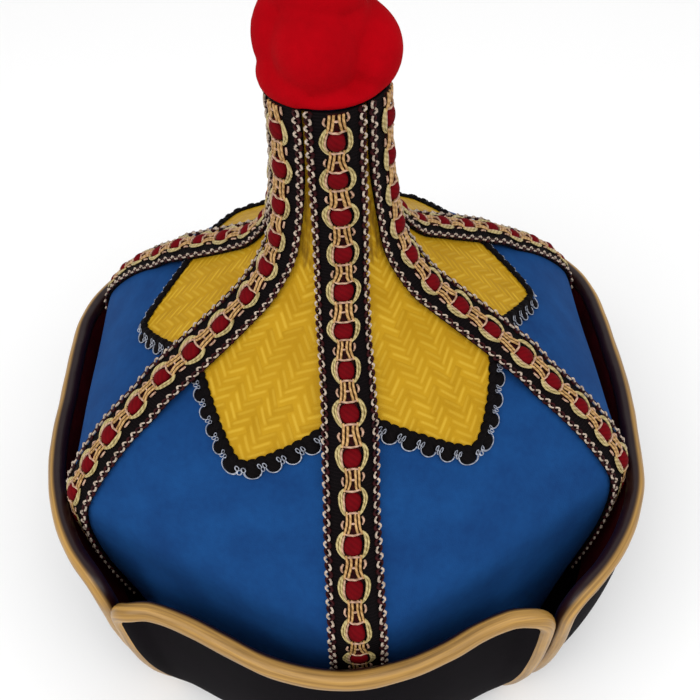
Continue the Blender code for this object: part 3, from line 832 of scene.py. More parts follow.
@dataclass
class Gore:
    """One velvet gore of the crown, on its felt backing."""

    crown: Crown
    brim: "Brim"
    index: int
    grid: tuple[int, int] = (40, 130)
    top: float = 2.5 * MM
    thickness: float = 2.0 * MM

    def build(self, wardrobe: Wardrobe) -> None:
        """Cut the gore flat, lay it on the crown and give it its thickness."""
        hem = self.crown.seam_length
        piece, points, area = cut_panel(self.crown, f"velvet_gore_{self.index + 1}", self.grid, self.top,
                                        lambda share: hem)
        write_points(piece, self.crown.on_gore(self.index)(points))
        dress(piece, wardrobe.take(Cloth.BLUE_VELVET), wardrobe.take(Cloth.FELT_BACK))
        thicken(piece, self.thickness, material_offset=1)
        keep_above_floor(piece)
        smooth(piece)
        hand_over(piece, "blue_velvet", f"crown_gore_{self.index + 1}")
        flaps = self.brim.sides_between(*self.crown.seam_bearings[self.index:self.index + 2])


@dataclass
class CollarPanel:
    """One brocade panel of the collar."""

    crown: Crown
    collar: Collar
    index: int
    grid: tuple[int, int] = (36, 90)
    top: float = 2.0 * MM
    lift: float = 0.5 * MM
    thickness: float = 1.0 * MM

    def build(self, wardrobe: Wardrobe) -> None:
        """Cut the panel flat to its blunt point, lay it on its gore and give it its thickness."""
        piece, points, area = cut_panel(self.crown, f"brocade_panel_{self.index + 1}", self.grid, self.top,
                                        lambda share: self.collar.edge(self.index, share))
        write_points(piece, self.crown.on_gore(self.index, self.lift + self.thickness)(points))
        dress(piece, wardrobe.take(Cloth.BROCADE))
        thicken(piece, self.thickness)
        smooth(piece)
        hand_over(piece, "yellow_brocade", f"collar_panel_{self.index + 1}")


@dataclass
class Lace:
    """The scalloped lace along one panel's lower edge."""

    crown: Crown
    collar: Collar
    index: int
    scallops: int = 11
    end: float = 0.078
    pitch: float = 6.0 * MM
    outer_bead: Triple = (3.3 * MM, 2.2 * MM, 1.6 * MM)
    inner_bead: Triple = (1.1 * MM, 2.25 * MM, 1.45 * MM)
    filling: Triple = (1.3 * MM, 2.3 * MM, 1.0 * MM)
    wire: float = 0.2 * MM
    rim_arc: tuple[float, float] = (182.0, 358.0)
    rim_gap: float = 0.1 * MM
    loop: tuple[float, float] = (0.42 * MM, 0.75 * MM)
    loops_at: tuple[tuple[float, float], ...] = ((-0.75, -2.3), (0.7, -2.5), (-0.1, -3.4))
    on_velvet: float = 0.3 * MM
    on_brocade: float = 1.6 * MM
    turns_over: float = 2.0 * MM

    def bead(self, along: float, size: Triple) -> bpy.types.Object:
        """Model one round swell of the black cord, flat below, from its drop, its radius and its height."""
        drop, radius, height = size
        piece = ball((along, -drop, 0.0), (18, 10), scale=(radius, radius, height))
        flatten_foot(piece)
        return piece

    def scallop(self, wardrobe: Wardrobe) -> bpy.types.Object:
        """Model one scallop flat: the swells of black cord, the silver rim and the stitches beside it."""
        middle = self.pitch / 2.0
        spots = ((middle, self.outer_bead), (0.0, self.inner_bead), (middle, self.filling))
        black = join("scallop_cord", [self.bead(along, size) for along, size in spots])
        dress(black, wardrobe.take(Cloth.BLACK_YARN))
        drop, radius, height = self.outer_bead
        arc = np.radians(np.linspace(*self.rim_arc, 17))
        reach = radius + self.rim_gap
        rim = np.column_stack([middle + reach * np.cos(arc), -drop + reach * np.sin(arc),
                               0.5 * MM + 0.5 * MM * (1.0 + np.sin(arc))])
        ring = np.linspace(0.0, math.tau, 11)
        loops = [np.column_stack([x * MM + self.loop[0] * np.cos(ring), y * MM + self.loop[1] * np.sin(ring),
                                  height - 0.1 * MM - 0.25 * MM * np.cos(ring)]) for x, y in self.loops_at]
        yarn = wardrobe.take(Cloth.SILVER_YARN)
        silver = spun_yarn("scallop_silver", [rim], self.wire, yarn)
        stitches = spun_yarn("scallop_stitches", loops, 0.8 * self.wire, yarn)
        return join("scallop", [black, silver, stitches])

    def along_edge(self) -> Mapper:
        """Return the function that bends a straight lace round the panel's lower edge."""
        share = np.linspace(self.end, 1.0 - self.end, 400)
        length = self.collar.edge(self.index, share)
        line = np.column_stack([(share - 0.5) * self.crown.width(length), -length])
        along = running(np.linalg.norm(np.diff(line, axis=0), axis=1))
        whole = self.scallops * self.pitch
        place = self.crown.on_gore(self.index)

        def lay(flat: Points) -> Points:
            at = flat[:, 0] / whole * along[-1]
            near, here, far = (np.stack([np.interp(at + step, along, line[:, k]) for k in range(2)], axis=1)
                               for step in (-self.turns_over, 0.0, self.turns_over))
            heading = unit(far - near)
            outward = np.stack([-heading[:, 1], heading[:, 0]], axis=1)
            spot = here + outward * flat[:, 1:2]
            raised = self.on_velvet + self.on_brocade * (1.0 - ease(-flat[:, 1], 0.6 * MM, 2.4 * MM))
            return place(np.column_stack([spot, flat[:, 2] + raised]))

        return lay

    def build(self, pattern: bpy.types.Object) -> None:
        """Repeat the scallop along the panel's edge."""
        piece = copy_of(pattern, f"scalloped_lace_{self.index + 1}")
        repeat(piece, self.scallops, (self.pitch, 0.0, 0.0))
        mark_cloth(piece)
        write_points(piece, self.along_edge()(read_points(piece)))
        smooth(piece)
        hand_over(piece, "scalloped_lace", f"lace_edging_{self.index + 1}")


@dataclass
class Braid:
    """The flat black braid over one seam, with its picot edges."""

    crown: Crown
    index: int
    half_width: float = 8.7 * MM
    top_share: float = 1.05
    neck_share: float = 0.975
    narrows_at: float = 22.0 * MM
    narrows_over: float = 22.0 * MM
    widens_at: float = 62.0 * MM
    widens_over: float = 14.0 * MM
    length: float = 232.0 * MM
    roll: float = 0.5 * MM
    on_collar: float = 2.2 * MM
    on_velvet: float = 0.3 * MM
    step_down_at: float = 116.0 * MM
    step_down_over: float = 12.0 * MM
    thickness: float = 1.0 * MM
    columns: int = 14
    rows: int = 170
    picot_at: float = 7.6 * MM
    picot_inset: float = 0.5 * MM
    picot_sway: float = 0.95 * MM
    picot_pitch: float = KNOB_PITCH / 3.0
    picot_yarn: float = 0.36 * MM

    def lift(self, length: Points) -> Points:
        """Return the height of the braid's top: over the collar, then close to the velvet."""
        step = ease(length, self.step_down_at, self.step_down_over)
        return self.thickness + self.on_collar + (self.on_velvet - self.on_collar) * step

    def squeeze(self, length: Points) -> Points:
        """Return the share of its width that the braid keeps, drawn in halfway down the neck."""
        drawn = ease(length, self.narrows_at, self.narrows_over)
        neck = self.top_share + (self.neck_share - self.top_share) * drawn
        return neck + (1.0 - self.neck_share) * ease(length, self.widens_at, self.widens_over)

    def picots(self) -> tuple[list[Points], list[Points]]:
        """Return the runs of the two yarns that twine along each edge, cream and dark wine."""
        turn = np.arange(0.0, self.length / self.picot_pitch * math.tau, math.tau / 10.0)
        down = -turn / math.tau * self.picot_pitch
        middle = self.picot_at - self.picot_inset * (1.0 - ease(-down, self.narrows_at, self.narrows_over))
        cream, wine = [], []
        for side in (-1.0, 1.0):
            for runs, phase in ((cream, 0.0), (wine, math.pi)):
                sway = np.sin(turn + phase)
                height = 0.35 * MM + (0.45 if runs is cream else -0.25) * MM * sway**2
                runs.append(np.column_stack([side * (middle + self.picot_sway * sway), down, height]))
        return cream, wine

    def pattern(self, wardrobe: Wardrobe) -> bpy.types.Object:
        """Make one flat braid: the ribbed band, its rolled edges and the picots."""
        band = cut_grid("braid_band", self.columns, self.rows)
        points = read_points(band)
        across = 2.0 * points[:, 0] - 1.0
        points[:, 0] = across * (self.half_width - self.roll)
        points[:, 1] = (points[:, 1] - 1.0) * self.length
        points[:, 2] = -self.roll * np.abs(across) ** 6
        write_points(band, points)
        thicken(band, 0.8 * self.thickness)
        dress(band, wardrobe.take(Cloth.RIBBON))
        cream_runs, wine_runs = self.picots()
        cream = spun_yarn("picot_cream", cream_runs, self.picot_yarn, wardrobe.take(Cloth.CREAM_YARN))
        wine = spun_yarn("picot_wine", wine_runs, 1.35 * self.picot_yarn, wardrobe.take(Cloth.PICOT_YARN))
        return join("braid_pattern", [band, cream, wine])

    def build(self, pattern: bpy.types.Object) -> None:
        """Lay the braid on its seam."""
        piece = copy_of(pattern, f"picot_braid_{self.index + 1}")
        mark_cloth(piece)
        write_points(piece, self.crown.on_seam(self.index, self.lift, self.squeeze)(read_points(piece)))
        smooth(piece)
        hand_over(piece, "braid_ribbon", f"seam_braid_{self.index + 1}")


@dataclass
class Gimp:
    """The raised row on the middle of a braid: red knobs held between bows and rails of gold yarn.

    A strand's places across the braid are in millimetres from its middle.
    """

    braid: Braid
    first: float = 9.0 * MM
    knobs: int = 15
    knob: Triple = (2.5 * MM, 3.2 * MM, 2.0 * MM)
    yarn: float = 0.34 * MM
    bows: tuple[tuple[float, float], ...] = ((4.15, 4.0), (3.35, 3.7))
    liner: tuple[float, float] = (2.8, 2.8)
    bow_end: float = 2.3
    rails: tuple[tuple[float, float], ...] = ((1.8, 2.45), (0.8, 1.45))
    crossings: tuple[tuple[float, float], ...] = ((-3.5, 1.7), (3.5, 2.2))
    ground_half: float = 2.3 * MM
    rung: float = 6.4
    curl_at: float = 2.75
    flat_from: float = 166.0 * MM
    flat_over: float = 8.0 * MM
    flat_share: float = 0.5
    cut_at: float = 0.6 * MM
    uneven: float = 0.08
    drift: float = 0.3 * MM
    slack: float = 0.14 * MM

    def red_knob(self, wardrobe: Wardrobe) -> bpy.types.Object:
        """Model one padded knob: a rounded block of floss, flat below."""
        bpy.ops.object.select_all(action="DESELECT")
        bpy.ops.mesh.primitive_cube_add(size=2.0)
        piece = bpy.context.object
        modify(piece, "SUBSURF", levels=3, render_levels=3)
        points = read_points(piece)
        points = 0.5 * points / np.abs(points).max(axis=0) + 0.5 * unit(points)
        write_points(piece, points * np.array(self.knob))
        flatten_foot(piece)
        return dress(piece, wardrobe.take(Cloth.RED_FLOSS))

    def ground(self, wardrobe: Wardrobe) -> bpy.types.Object:
        """Model the dark ground that shows between the rails."""
        piece = cut_grid("gimp_ground", 4, 8)
        points = read_points(piece)
        points[:, 0] = (points[:, 0] - 0.5) * 2.0 * self.ground_half
        points[:, 1] = -points[:, 1] * KNOB_PITCH
        points[:, 2] = 0.2 * MM - 0.15 * MM * (points[:, 0] / self.ground_half) ** 2
        write_points(piece, points)
        modify(piece, "SOLIDIFY", thickness=0.3 * MM, offset=1.0)
        return dress(piece, wardrobe.take(Cloth.WINE_FLOSS))

    def strands(self, wardrobe: Wardrobe) -> list[bpy.types.Object]:
        """Lay the yarns of one motif, its knob at the origin and the rails below it."""
        t = np.linspace(-1.0, 1.0, 13)
        bulge = (1.0 - t**2) ** 0.8
        bows, rails, rose = [], [], []
        for side in (-1.0, 1.0):
            for order, (reach, half) in enumerate(self.bows):
                out = self.bow_end + 0.25 * t + (reach - self.bow_end) * bulge
                bows.append(np.column_stack([side * out, half * t, 0.35 + 0.55 * bulge + 0.12 * order]) * MM)
            for top, foot in self.rails:
                out = top + (foot - top) * (1.0 - t) / 2.0 - 0.4 * (1.0 - t**2)
                rails.append(np.column_stack([side * out, 3.5 * t - self.rung, 0.85 - 0.25 * t**2]) * MM)
            curl = np.cos(math.pi * t / 2.0)
            rose.append(np.column_stack([side * (self.curl_at + 0.35 * curl),
                                         1.2 * t - self.rung + 0.5 * side, 0.2 + 0.5 * curl]) * MM)
        reach, half = self.liner
        rose.append(np.column_stack([-2.3 - (reach - 2.3) * bulge, half * t, 0.5 + 0.4 * bulge]) * MM)
        for down, wide in self.crossings:
            out = down + 0.3 * np.sign(down) * (t**2 - 1.0)
            rose.append(np.column_stack([wide * t, out, 1.25 - 0.6 * t**2 + 0.12 * np.sin(9.0 * t)]) * MM)
        rose.append(np.column_stack([0.55 * t, np.full_like(t, -self.rung), 0.95 - 0.2 * t**2]) * MM)
        return [spun_yarn("gimp_bows", bows, 1.05 * self.yarn, wardrobe.take(Cloth.PALE_YARN), 0.75),
                spun_yarn("gimp_rails", rails, self.yarn, wardrobe.take(Cloth.GOLD_YARN)),
                spun_yarn("gimp_rose", rose, self.yarn, wardrobe.take(Cloth.ROSE_YARN), 0.8)]

    def pattern(self, wardrobe: Wardrobe) -> bpy.types.Object:
        """Join one motif."""
        parts = [self.red_knob(wardrobe), self.ground(wardrobe), *self.strands(wardrobe)]
        return join("gimp_pattern", parts)

    def loosen(self, points: Points) -> Points:
        """Give the row the slight unevenness of work by hand, different on each seam."""
        seam = self.braid.index
        down = points[:, 1] / MM
        size = 1.0 + self.uneven * np.sin(down / 6.1 + 2.3 * seam)
        drift = self.drift * np.sin(down / 11.0 + 1.9 * seam)
        slide = self.drift * np.sin(down / 8.3 + 0.7 * seam)
        slack = self.slack * np.sin(down / 1.1 + 2.6 * np.sign(points[:, 0]) + seam)
        across = points[:, 0] * size + drift + slack * np.sin(down / 7.1 + seam)
        return np.column_stack([across, points[:, 1] + slide, points[:, 2]])

    def build(self, pattern: bpy.types.Object) -> None:
        """Repeat the motif down the braid, from the rails above its first knob, flatter in the brim."""
        seam = self.braid.index
        piece = copy_of(pattern, f"gold_gimp_{seam + 1}")
        repeat(piece, self.knobs + 1, (0.0, -KNOB_PITCH, 0.0))
        points = read_points(piece)
        points[:, 1] -= self.first - KNOB_PITCH
        write_points(piece, self.loosen(points))
        cut_through(piece, (0.0, -self.cut_at, 0.0), (0.0, 1.0, 0.0), clear_outer=True)
        mark_cloth(piece)
        points = read_points(piece)
        flatness = ease(-points[:, 1], self.flat_from, self.flat_over)
        points[:, 2] *= 1.0 - (1.0 - self.flat_share) * flatness
        write_points(piece, self.braid.crown.on_seam(seam, self.braid.lift, np.ones_like)(points))
        smooth(piece)
        hand_over(piece, "gold_gimp", f"seam_gimp_{seam + 1}")


@dataclass
class Brim:
    """The turned-up brim's form, which its flaps, facings and bindings share."""

    plan: tuple[tuple[float, float], ...] = (
        (-90.0, 107.6), (-80.0, 109.4), (-72.0, 111.9), (-66.0, 113.7), (-60.0, 115.4), (-54.0, 116.6),
        (-48.0, 117.2), (-43.0, 118.3), (-39.5, 117.8), (-36.0, 113.6), (-30.0, 111.5), (-23.0, 112.3),
        (-12.0, 116.4), (-2.0, 118.2), (7.0, 116.6), (14.0, 114.3), (20.0, 112.4), (25.5, 113.0),
        (29.0, 116.0), (33.0, 119.0), (38.0, 119.2), (44.0, 118.9), (50.0, 118.2), (56.0, 116.8),
        (62.0, 114.8), (69.0, 111.3), (76.0, 109.0), (90.0, 107.6),
    )
    back_plan: tuple[tuple[float, float], ...] = (
        (90.0, 107.6), (97.0, 108.4), (104.0, 110.6), (111.0, 113.6), (118.0, 115.0), (126.0, 113.8),
        (134.0, 110.0), (142.0, 107.0), (150.0, 106.0), (158.0, 106.4), (165.0, 109.4), (172.0, 114.2),
        (180.0, 118.2),
    )
    slits: tuple[float, ...] = (-43.3, 33.2, 146.8, 223.3, 316.7)
    height: float = 84.0 * MM
    fold: float = 104.0 * MM
    swell: float = 3.0
    corner: float = 12.0 * MM
    mean_radius: float = 114.0 * MM
    slit_width: float = 1.0 * MM
    thickness: float = 2.6 * MM
    gap: float = 0.3 * MM
    facing: float = 1.2 * MM
    binding: float = 3.1 * MM

    def rim(self, bearing: Points) -> Points:
        """Return the rim's outer radius at bearings in degrees. Behind, both sides follow one plan."""
        folded = (bearing + 180.0) % 360.0 - 180.0
        return np.where(np.abs(folded) > 90.0, self.on_plan(self.back_plan, np.abs(folded)),
                        self.on_plan(self.plan, folded))

    def on_plan(self, plan: tuple[tuple[float, float], ...], bearing: Points) -> Points:
        """Return the radius that a smooth line through a plan's rows has at bearings."""
        table = np.array(plan)
        places, radii = table.T
        slopes = np.zeros(len(table))
        slopes[1:-1] = (radii[2:] - radii[:-2]) / (places[2:] - places[:-2])
        low = np.clip(np.searchsorted(places, bearing, side="right") - 1, 0, len(table) - 2)
        high = low + 1
        width = places[high] - places[low]
        share = (bearing - places[low]) / width
        return MM * curve(share, radii[low], radii[high], slopes[low] * width, slopes[high] * width)

    def wall(self, bearing: Points, height: Points, depth: Points) -> Points:
        """Return points of a flap's wall, a depth inside its outer face."""
        rise = np.clip(height / self.height, 0.0, 1.0)
        radius = self.fold + (self.rim(bearing) - self.fold) * (1.0 - (1.0 - rise) ** self.swell) - depth
        return around(radius, np.radians(bearing), height)

    def span(self, side: Side) -> tuple[float, float]:
        """Return the bearing of a flap's middle and half its width along the rim in metres."""
        index = list(Side).index(side)
        start, end = self.slits[index:index + 2]
        return (start + end) / 2.0, math.radians(end - start) / 2.0 * self.mean_radius - self.slit_width / 2.0

    def sides_between(self, start: float, end: float) -> list[Side]:
        """Return the flaps that lie, wholly or partly, between two bearings in degrees from 0 to 360."""
        spans = zip(Side, self.slits[:-1], self.slits[1:])
        return [side for side, low, high in spans
                if any(low + turn < end and start < high + turn for turn in (0.0, 360.0))]

    def bearing(self, centre: float, across: Points) -> Points:
        """Return the bearings of places across a flap."""
        return centre + np.degrees(across / self.mean_radius)

    def top(self, across: Points, half: float, inset: float) -> Points:
        """Return the height of a flap's top edge, rounded at its corners and drawn in by an inset."""
        corner = self.corner - inset
        into = np.clip(np.abs(across) - (half - inset - corner), 0.0, corner)
        return self.height - inset - corner + np.sqrt(corner**2 - into**2)


@dataclass
class Flap:
    """One flap of the brim: black velvet, its wine facing and its satin binding."""

    brim: Brim
    side: Side
    columns: int = 96
    rows: int = 44
    crowding: float = 0.35  # how much the columns crowd towards the flap's sides
    floor: tuple[float, float] = (96.6 * MM, 100.8 * MM)
    fold_height: float = 1.6 * MM
    fold_length: float = 4.0 * MM
    facing_foot: float = 14.0 * MM
    binding_foot: float = 3.0 * MM
    binding_sides: int = 20
    binding_step: float = 1.4 * MM
    tuck: float = 0.18
    tuck_over: float = 6.0 * MM
    pull: float = 0.025
    pull_lengths: tuple[float, float] = (3.1 * MM, 11.3 * MM)
    dark_front: float = -0.05
    dark_side: float = 0.07

    def velvet_place(self, across: Points, up: Points) -> Points:
        """Return points of the velvet: flat below the hem, round at the fold, then up the wall."""
        centre, _ = self.brim.span(self.side)
        bearing = self.brim.bearing(centre, across)
        risen = np.maximum(up - self.fold_length + self.fold_height, self.fold_height)
        places = self.brim.wall(bearing, risen, np.zeros_like(up))
        foot = np.hypot(places[:, 0], places[:, 1])
        turn = np.clip(up / self.fold_length, 0.0, 1.0) * math.pi / 2.0
        radius = self.floor[1] + np.minimum(up, 0.0) + (foot - self.floor[1]) * np.sin(turn)
        radius = np.where(up >= self.fold_length, foot, radius)
        height = np.where(up >= self.fold_length, places[:, 2], self.fold_height * (1.0 - np.cos(turn)))
        return around(radius, np.radians(bearing), height)

    def cut(self, name: str, inset: float, foot: float) -> tuple[bpy.types.Object, Points, float]:
        """Cut a flap's flat shape: square at its foot and rounded at its top corners.

        Args:
            name: The piece's name.
            inset: How far it is drawn in from the flap's edge.
            foot: The height of its lower edge above the fold, below 0 for the part under the hem.

        Returns:
            The piece, its flat points and its flat area.
        """
        _, half = self.brim.span(self.side)
        piece = cut_grid(name, self.columns, self.rows)
        points = read_points(piece)
        even = 2.0 * points[:, 0] - 1.0
        spread = np.sin((points[:, 0] - 0.5) * math.pi) * self.crowding + even * (1.0 - self.crowding)
        across = spread * (half - inset)
        top = self.brim.top(across, half, inset)
        points = np.column_stack([across, foot + (top - foot) * points[:, 1], np.zeros(len(points))])
        write_points(piece, points)
        mark_cloth(piece)
        return piece, points, flat_area(piece)

    def build_velvet(self, wardrobe: Wardrobe) -> None:
        """Make the black velvet wall, from under the hem to the rim."""
        under = self.floor[0] - self.floor[1]
        name = f"flap_{self.side.value}"
        piece, points, area = self.cut(name, self.brim.binding, under)
        write_points(piece, self.velvet_place(points[:, 0], points[:, 1]))
        dress(piece, wardrobe.take(Cloth.BLACK_VELVET))
        thicken(piece, self.brim.thickness)
        keep_above_floor(piece)
        smooth(piece)
        hand_over(piece, "black_velvet", f"brim_flap_{self.side.value}")
        _, half = self.brim.span(self.side)

    def build_facing(self, wardrobe: Wardrobe) -> None:
        """Make the wine velvet facing on the crown side of the wall."""
        name = f"facing_{self.side.value}"
        piece, points, area = self.cut(name, self.brim.binding, self.facing_foot)
        centre, half = self.brim.span(self.side)
        bearing = self.brim.bearing(centre, points[:, 0])
        near = np.full(len(points), self.brim.thickness + self.brim.gap)
        write_points(piece, self.brim.wall(bearing, points[:, 1], near))
        dress(piece, wardrobe.take(Cloth.WINE_VELVET))
        thicken(piece, self.brim.facing)
        smooth(piece)
        hand_over(piece, "wine_velvet", f"flap_facing_{self.side.value}")

    def binding_line(self) -> Points:
        """Return the binding's middle as (across, height), up one side, over the top and down."""
        _, half = self.brim.span(self.side)
        edge = half - self.brim.binding
        corner = self.brim.corner - self.brim.binding
        top = self.brim.height - self.brim.binding
        turn = np.linspace(0.0, math.pi / 2.0, 12)
        upright = np.arange(self.binding_foot, top - corner, self.binding_step)
        side = np.column_stack([np.full_like(upright, edge), upright])
        bend = np.column_stack([edge - corner * (1.0 - np.cos(turn)), top - corner * (1.0 - np.sin(turn))])
        straight = np.arange(edge - corner - self.binding_step, 0.0, -self.binding_step)
        level = np.column_stack([straight, np.full_like(straight, top)])
        half_line = np.concatenate([side, bend, level])
        return np.concatenate([half_line * (-1.0, 1.0), half_line[::-1]])

    def build_binding(self, wardrobe: Wardrobe) -> None:
        """Roll the satin strip round the flap's edge."""
        line = self.binding_line()
        centre, _ = self.brim.span(self.side)
        bearing = self.brim.bearing(centre, line[:, 0])
        depth = np.full(len(line), (self.brim.thickness + self.brim.gap + self.brim.facing) / 2.0)
        middle = self.brim.wall(bearing, line[:, 1], depth)
        outside = self.brim.wall(bearing, line[:, 1], depth - MM)
        heading = unit(np.gradient(middle, axis=0))
        across = unit(outside - middle)
        across = unit(across - heading * (across * heading).sum(axis=1, keepdims=True))
        upward = np.cross(across, heading)
        along = running(np.linalg.norm(np.diff(middle, axis=0), axis=1))
        piece = cut_grid(f"binding_{self.side.value}", self.binding_sides, len(line) - 1)
        points = read_points(piece)
        row = np.rint(points[:, 1] * (len(line) - 1)).astype(int)
        turn = points[:, 0] * math.tau
        shift = self.dark_front if self.side is Side.FRONT else self.dark_side
        flat = np.column_stack([(points[:, 0] + shift) * math.tau * self.brim.binding, along[row],
                                np.zeros(len(points))])
        write_points(piece, flat)
        mark_cloth(piece)
        short, long = self.pull_lengths
        from_end = np.minimum(along[row], along[-1] - along[row])
        tucked = 1.0 - self.tuck + self.tuck * ease(from_end, 0.0, self.tuck_over)
        pulled = 1.0 + self.pull * np.sin(along[row] / short + 2.0 * turn) * np.sin(along[row] / long)
        outward = across[row] * np.cos(turn)[:, None] + upward[row] * np.sin(turn)[:, None]
        write_points(piece, middle[row] + outward * (self.brim.binding * tucked * pulled)[:, None])
        close_tube(piece)
        dress(piece, wardrobe.take(Cloth.GOLD_SATIN))
        smooth(piece)
        hand_over(piece, "gold_satin", f"flap_binding_{self.side.value}")

    def build(self, wardrobe: Wardrobe) -> None:
        """Make the flap's three pieces."""
        self.build_velvet(wardrobe)
        self.build_facing(wardrobe)
        self.build_binding(wardrobe)


@dataclass
class TopKnot:
    """The padded knot of red velvet that closes the neck: short rolls wound round each other.

    A roll is given by its start, middle and end, in millimetres from the knot's middle, and its radius.
    """

    height: float = 228.5 * MM
    aside: float = 1.6 * MM
    foot: float = 212.6 * MM
    seat: tuple[float, float] = (18.2 * MM, 4.4 * MM)
    seat_height: float = 214.7 * MM
    rolls: tuple[tuple[tuple[float, float, float], ...], ...] = (
        ((-4.0, 0.0, -0.5), (-4.5, -9.0, -2.0), (-3.5, -7.0, -6.0), 11.6),
        ((9.0, 2.0, -2.5), (12.2, -1.0, -6.0), (10.5, -5.5, -8.5), 8.4),
        ((-9.5, 4.0, 5.0), (-14.5, 0.5, -1.0), (-12.8, -1.5, -6.5), 8.2),
        ((-13.5, 2.0, -11.5), (-17.5, -4.0, -12.0), (-9.0, -11.0, -12.0), 6.2),
        ((-9.0, 0.0, 9.0), (-1.0, -7.0, 10.5), (4.0, -1.0, 9.5), 7.2),
        ((4.5, 9.0, 3.5), (-2.0, 12.0, -1.0), (-8.0, 8.0, -7.0), 9.2),
        ((9.5, 6.0, -6.0), (9.0, 8.0, -9.0), (1.0, 10.0, -8.0), 8.0),
    )
    core: float = 11.5
    balls: int = 9
    voxel: float = 1.0 * MM
    pressure: float = 4.0
    frames: int = 14
    cap: float = 1.2 * MM

    def wind(self) -> bpy.types.Object:
        """Lay the rolls and the core, and fuse them into one closed skin."""
        spots = [((0.0, 0.0, 0.0), self.core)]
        for start, middle, end, radius in self.rolls:
            for t in np.linspace(0.0, 1.0, self.balls):
                place = (1 - t) ** 2 * np.array(start) + 2 * t * (1 - t) * np.array(middle)
                place = place + t**2 * np.array(end)
                spots.append((tuple(place), radius * (0.9 + 0.1 * math.sin(math.pi * t))))
        broad, high = self.seat
        stuffing = [ball(Vector(place) * MM + Vector((self.aside, 0.0, self.height)), (24, 14), radius * MM)
                    for place, radius in spots]
        stuffing.append(ball((0.0, 0.0, self.seat_height), (32, 14), scale=(broad, broad, high)))
        piece = join("knot", stuffing)
        modify(piece, "REMESH", mode="VOXEL", voxel_size=self.voxel, use_smooth_shade=True)
        modify(piece, "SMOOTH", factor=0.5, iterations=3)
        return piece

    def stuff(self, piece: bpy.types.Object) -> None:
        """Fill the skin by cloth simulation, its points moving no further than the cap."""
        rest = read_points(piece)
        select_only(piece)
        cloth = piece.modifiers.new("Cloth", "CLOTH")
        cloth.settings.use_pressure = True
        cloth.settings.uniform_pressure_force = self.pressure
        cloth.settings.effector_weights.gravity = 0.0
        cloth.point_cache.frame_start = 1
        cloth.point_cache.frame_end = self.frames
        scene = bpy.context.scene
        for step in range(1, self.frames + 1):
            scene.frame_set(step)
        bpy.ops.object.modifier_apply(modifier=cloth.name)
        scene.frame_set(1)
        moved = read_points(piece) - rest
        far = np.linalg.norm(moved, axis=1, keepdims=True)
        moved *= np.minimum(1.0, self.cap / np.maximum(far, 1e-9))
        write_points(piece, rest + moved)

    def build(self, wardrobe: Wardrobe) -> None:
        """Wind, stuff and seat the knot."""
        piece = self.wind()
        self.stuff(piece)
        modify(piece, "SMOOTH", factor=0.4, iterations=2)
        points = read_points(piece)
        points[:, 2] = np.maximum(points[:, 2], self.foot)
        write_points(piece, points)
        modify(piece, "SUBSURF", levels=1, render_levels=1)
        bpy.ops.object.shade_smooth()
        dress(piece, wardrobe.take(Cloth.RED_VELVET))
        hand_over(piece, "red_velvet", "top_knot")


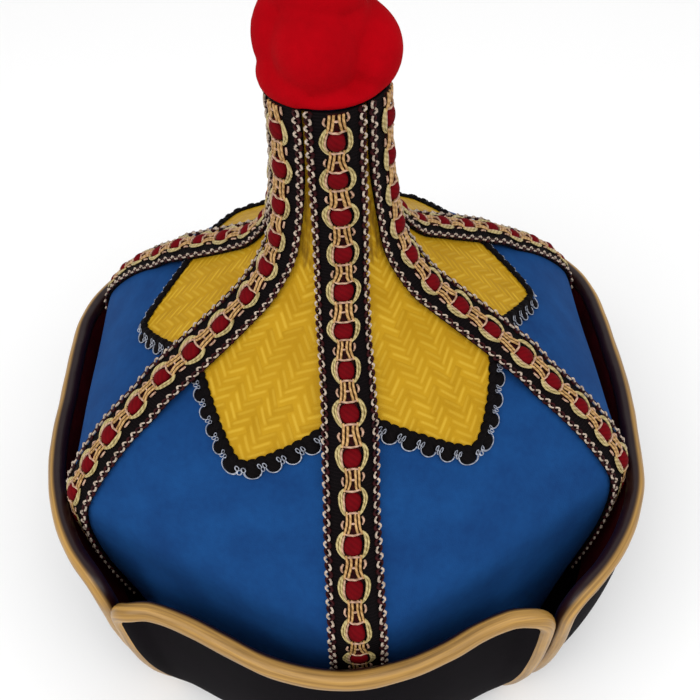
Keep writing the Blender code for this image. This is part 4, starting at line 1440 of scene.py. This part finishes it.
@dataclass
class Studio:
    """The pale floor, the soft lights and the camera at the photograph's angle."""

    elevation: float = math.radians(48.46)
    azimuth: float = math.radians(-1.1)
    roll: float = math.radians(-2.43)
    distance: float = 331.1 * MM
    aside: float = 3.25 * MM
    target_height: float = 99.0 * MM
    lens: float = 45.9
    sensor: float = 36.0
    floor_size: float = 6.0
    floor_drop: float = 0.2 * MM
    sky: float = 0.7
    lights: tuple[tuple[str, Triple, float, float], ...] = (
        ("key", (-0.8, -0.7, 1.1), 0.9, 6.6),
        ("fill", (0.9, -0.65, 1.0), 0.9, 4.0),
        ("back", (0.1, 1.1, 0.95), 0.9, 1.0),
        ("top", (0.0, -0.7, 1.4), 1.1, 6.4),
    )

    def build(self) -> None:
        """Set up floor, light and camera."""
        bpy.ops.object.select_all(action="DESELECT")
        bpy.ops.mesh.primitive_plane_add(size=self.floor_size, location=(0.0, 0.0, -self.floor_drop))
        floor = bpy.context.object
        floor.name = "floor"
        paper = bpy.data.materials.new("white_paper")
        paper.use_nodes = True
        shader = paper.node_tree.nodes["Principled BSDF"]
        shader.inputs["Base Color"].default_value = linear("#f6f6f6")
        shader.inputs["Roughness"].default_value = 0.9
        floor.data.materials.append(paper)
        for name, place, size, power in self.lights:
            self.add_light(name, Vector(place), size, power)
        world = bpy.data.worlds.new("studio")
        bpy.context.scene.world = world
        world.use_nodes = True
        sky = world.node_tree.nodes["Background"]
        sky.inputs["Color"].default_value = (1.0, 1.0, 1.0, 1.0)
        sky.inputs["Strength"].default_value = self.sky
        bpy.context.scene.view_settings.view_transform = "Standard"
        self.add_camera()

    def add_light(self, name: str, place: Vector, size: float, power: float) -> None:
        """Hang one soft box that faces the hat."""
        lamp = bpy.data.lights.new(name, "AREA")
        lamp.size = size
        lamp.energy = power
        box = bpy.data.objects.new(name, lamp)
        aim = Vector((0.0, 0.0, self.target_height)) - place
        box.location = place
        box.rotation_euler = aim.to_track_quat("-Z", "Y").to_euler()
        bpy.context.scene.collection.objects.link(box)

    def add_camera(self) -> None:
        """Stand the camera where the photograph was taken."""
        forward = Vector((0.0, math.cos(self.elevation), -math.sin(self.elevation)))
        level = Vector((1.0, 0.0, 0.0))
        above = level.cross(forward)
        right = level * math.cos(self.roll) + above * math.sin(self.roll)
        top = above * math.cos(self.roll) - level * math.sin(self.roll)
        place = Vector((self.aside, 0.0, self.target_height)) - forward * self.distance
        pose = Matrix((right, top, -forward)).transposed().to_4x4()
        pose.translation = place
        camera = bpy.data.cameras.new("camera")
        camera.lens = self.lens
        camera.sensor_width = self.sensor
        camera.clip_start = 0.01
        item = bpy.data.objects.new("camera", camera)
        item.matrix_world = Matrix.Rotation(self.azimuth, 4, "Z") @ pose
        bpy.context.scene.collection.objects.link(item)
        bpy.context.scene.camera = item


def main() -> None:
    """Dress the hat piece by piece, from the velvet outwards, and set it in the studio."""
    logging.basicConfig(level=logging.INFO, format="%(name)s: %(message)s")
    wardrobe = Wardrobe()
    crown, collar, brim = Crown(), Collar(), Brim()
    scallop = Lace(crown, collar, 0).scallop(wardrobe)
    braid_pattern = Braid(crown, 0).pattern(wardrobe)
    gimp_pattern = Gimp(Braid(crown, 0)).pattern(wardrobe)
    for index in range(GORE_COUNT):
        Gore(crown, brim, index).build(wardrobe)
        CollarPanel(crown, collar, index).build(wardrobe)
        Lace(crown, collar, index).build(scallop)
        Braid(crown, index).build(braid_pattern)
        Gimp(Braid(crown, index)).build(gimp_pattern)
    for pattern in (scallop, braid_pattern, gimp_pattern):
        discard(pattern)
    for side in Side:
        Flap(brim, side).build(wardrobe)
    TopKnot().build(wardrobe)
    Studio().build()


if __name__ == "__main__":
    main()
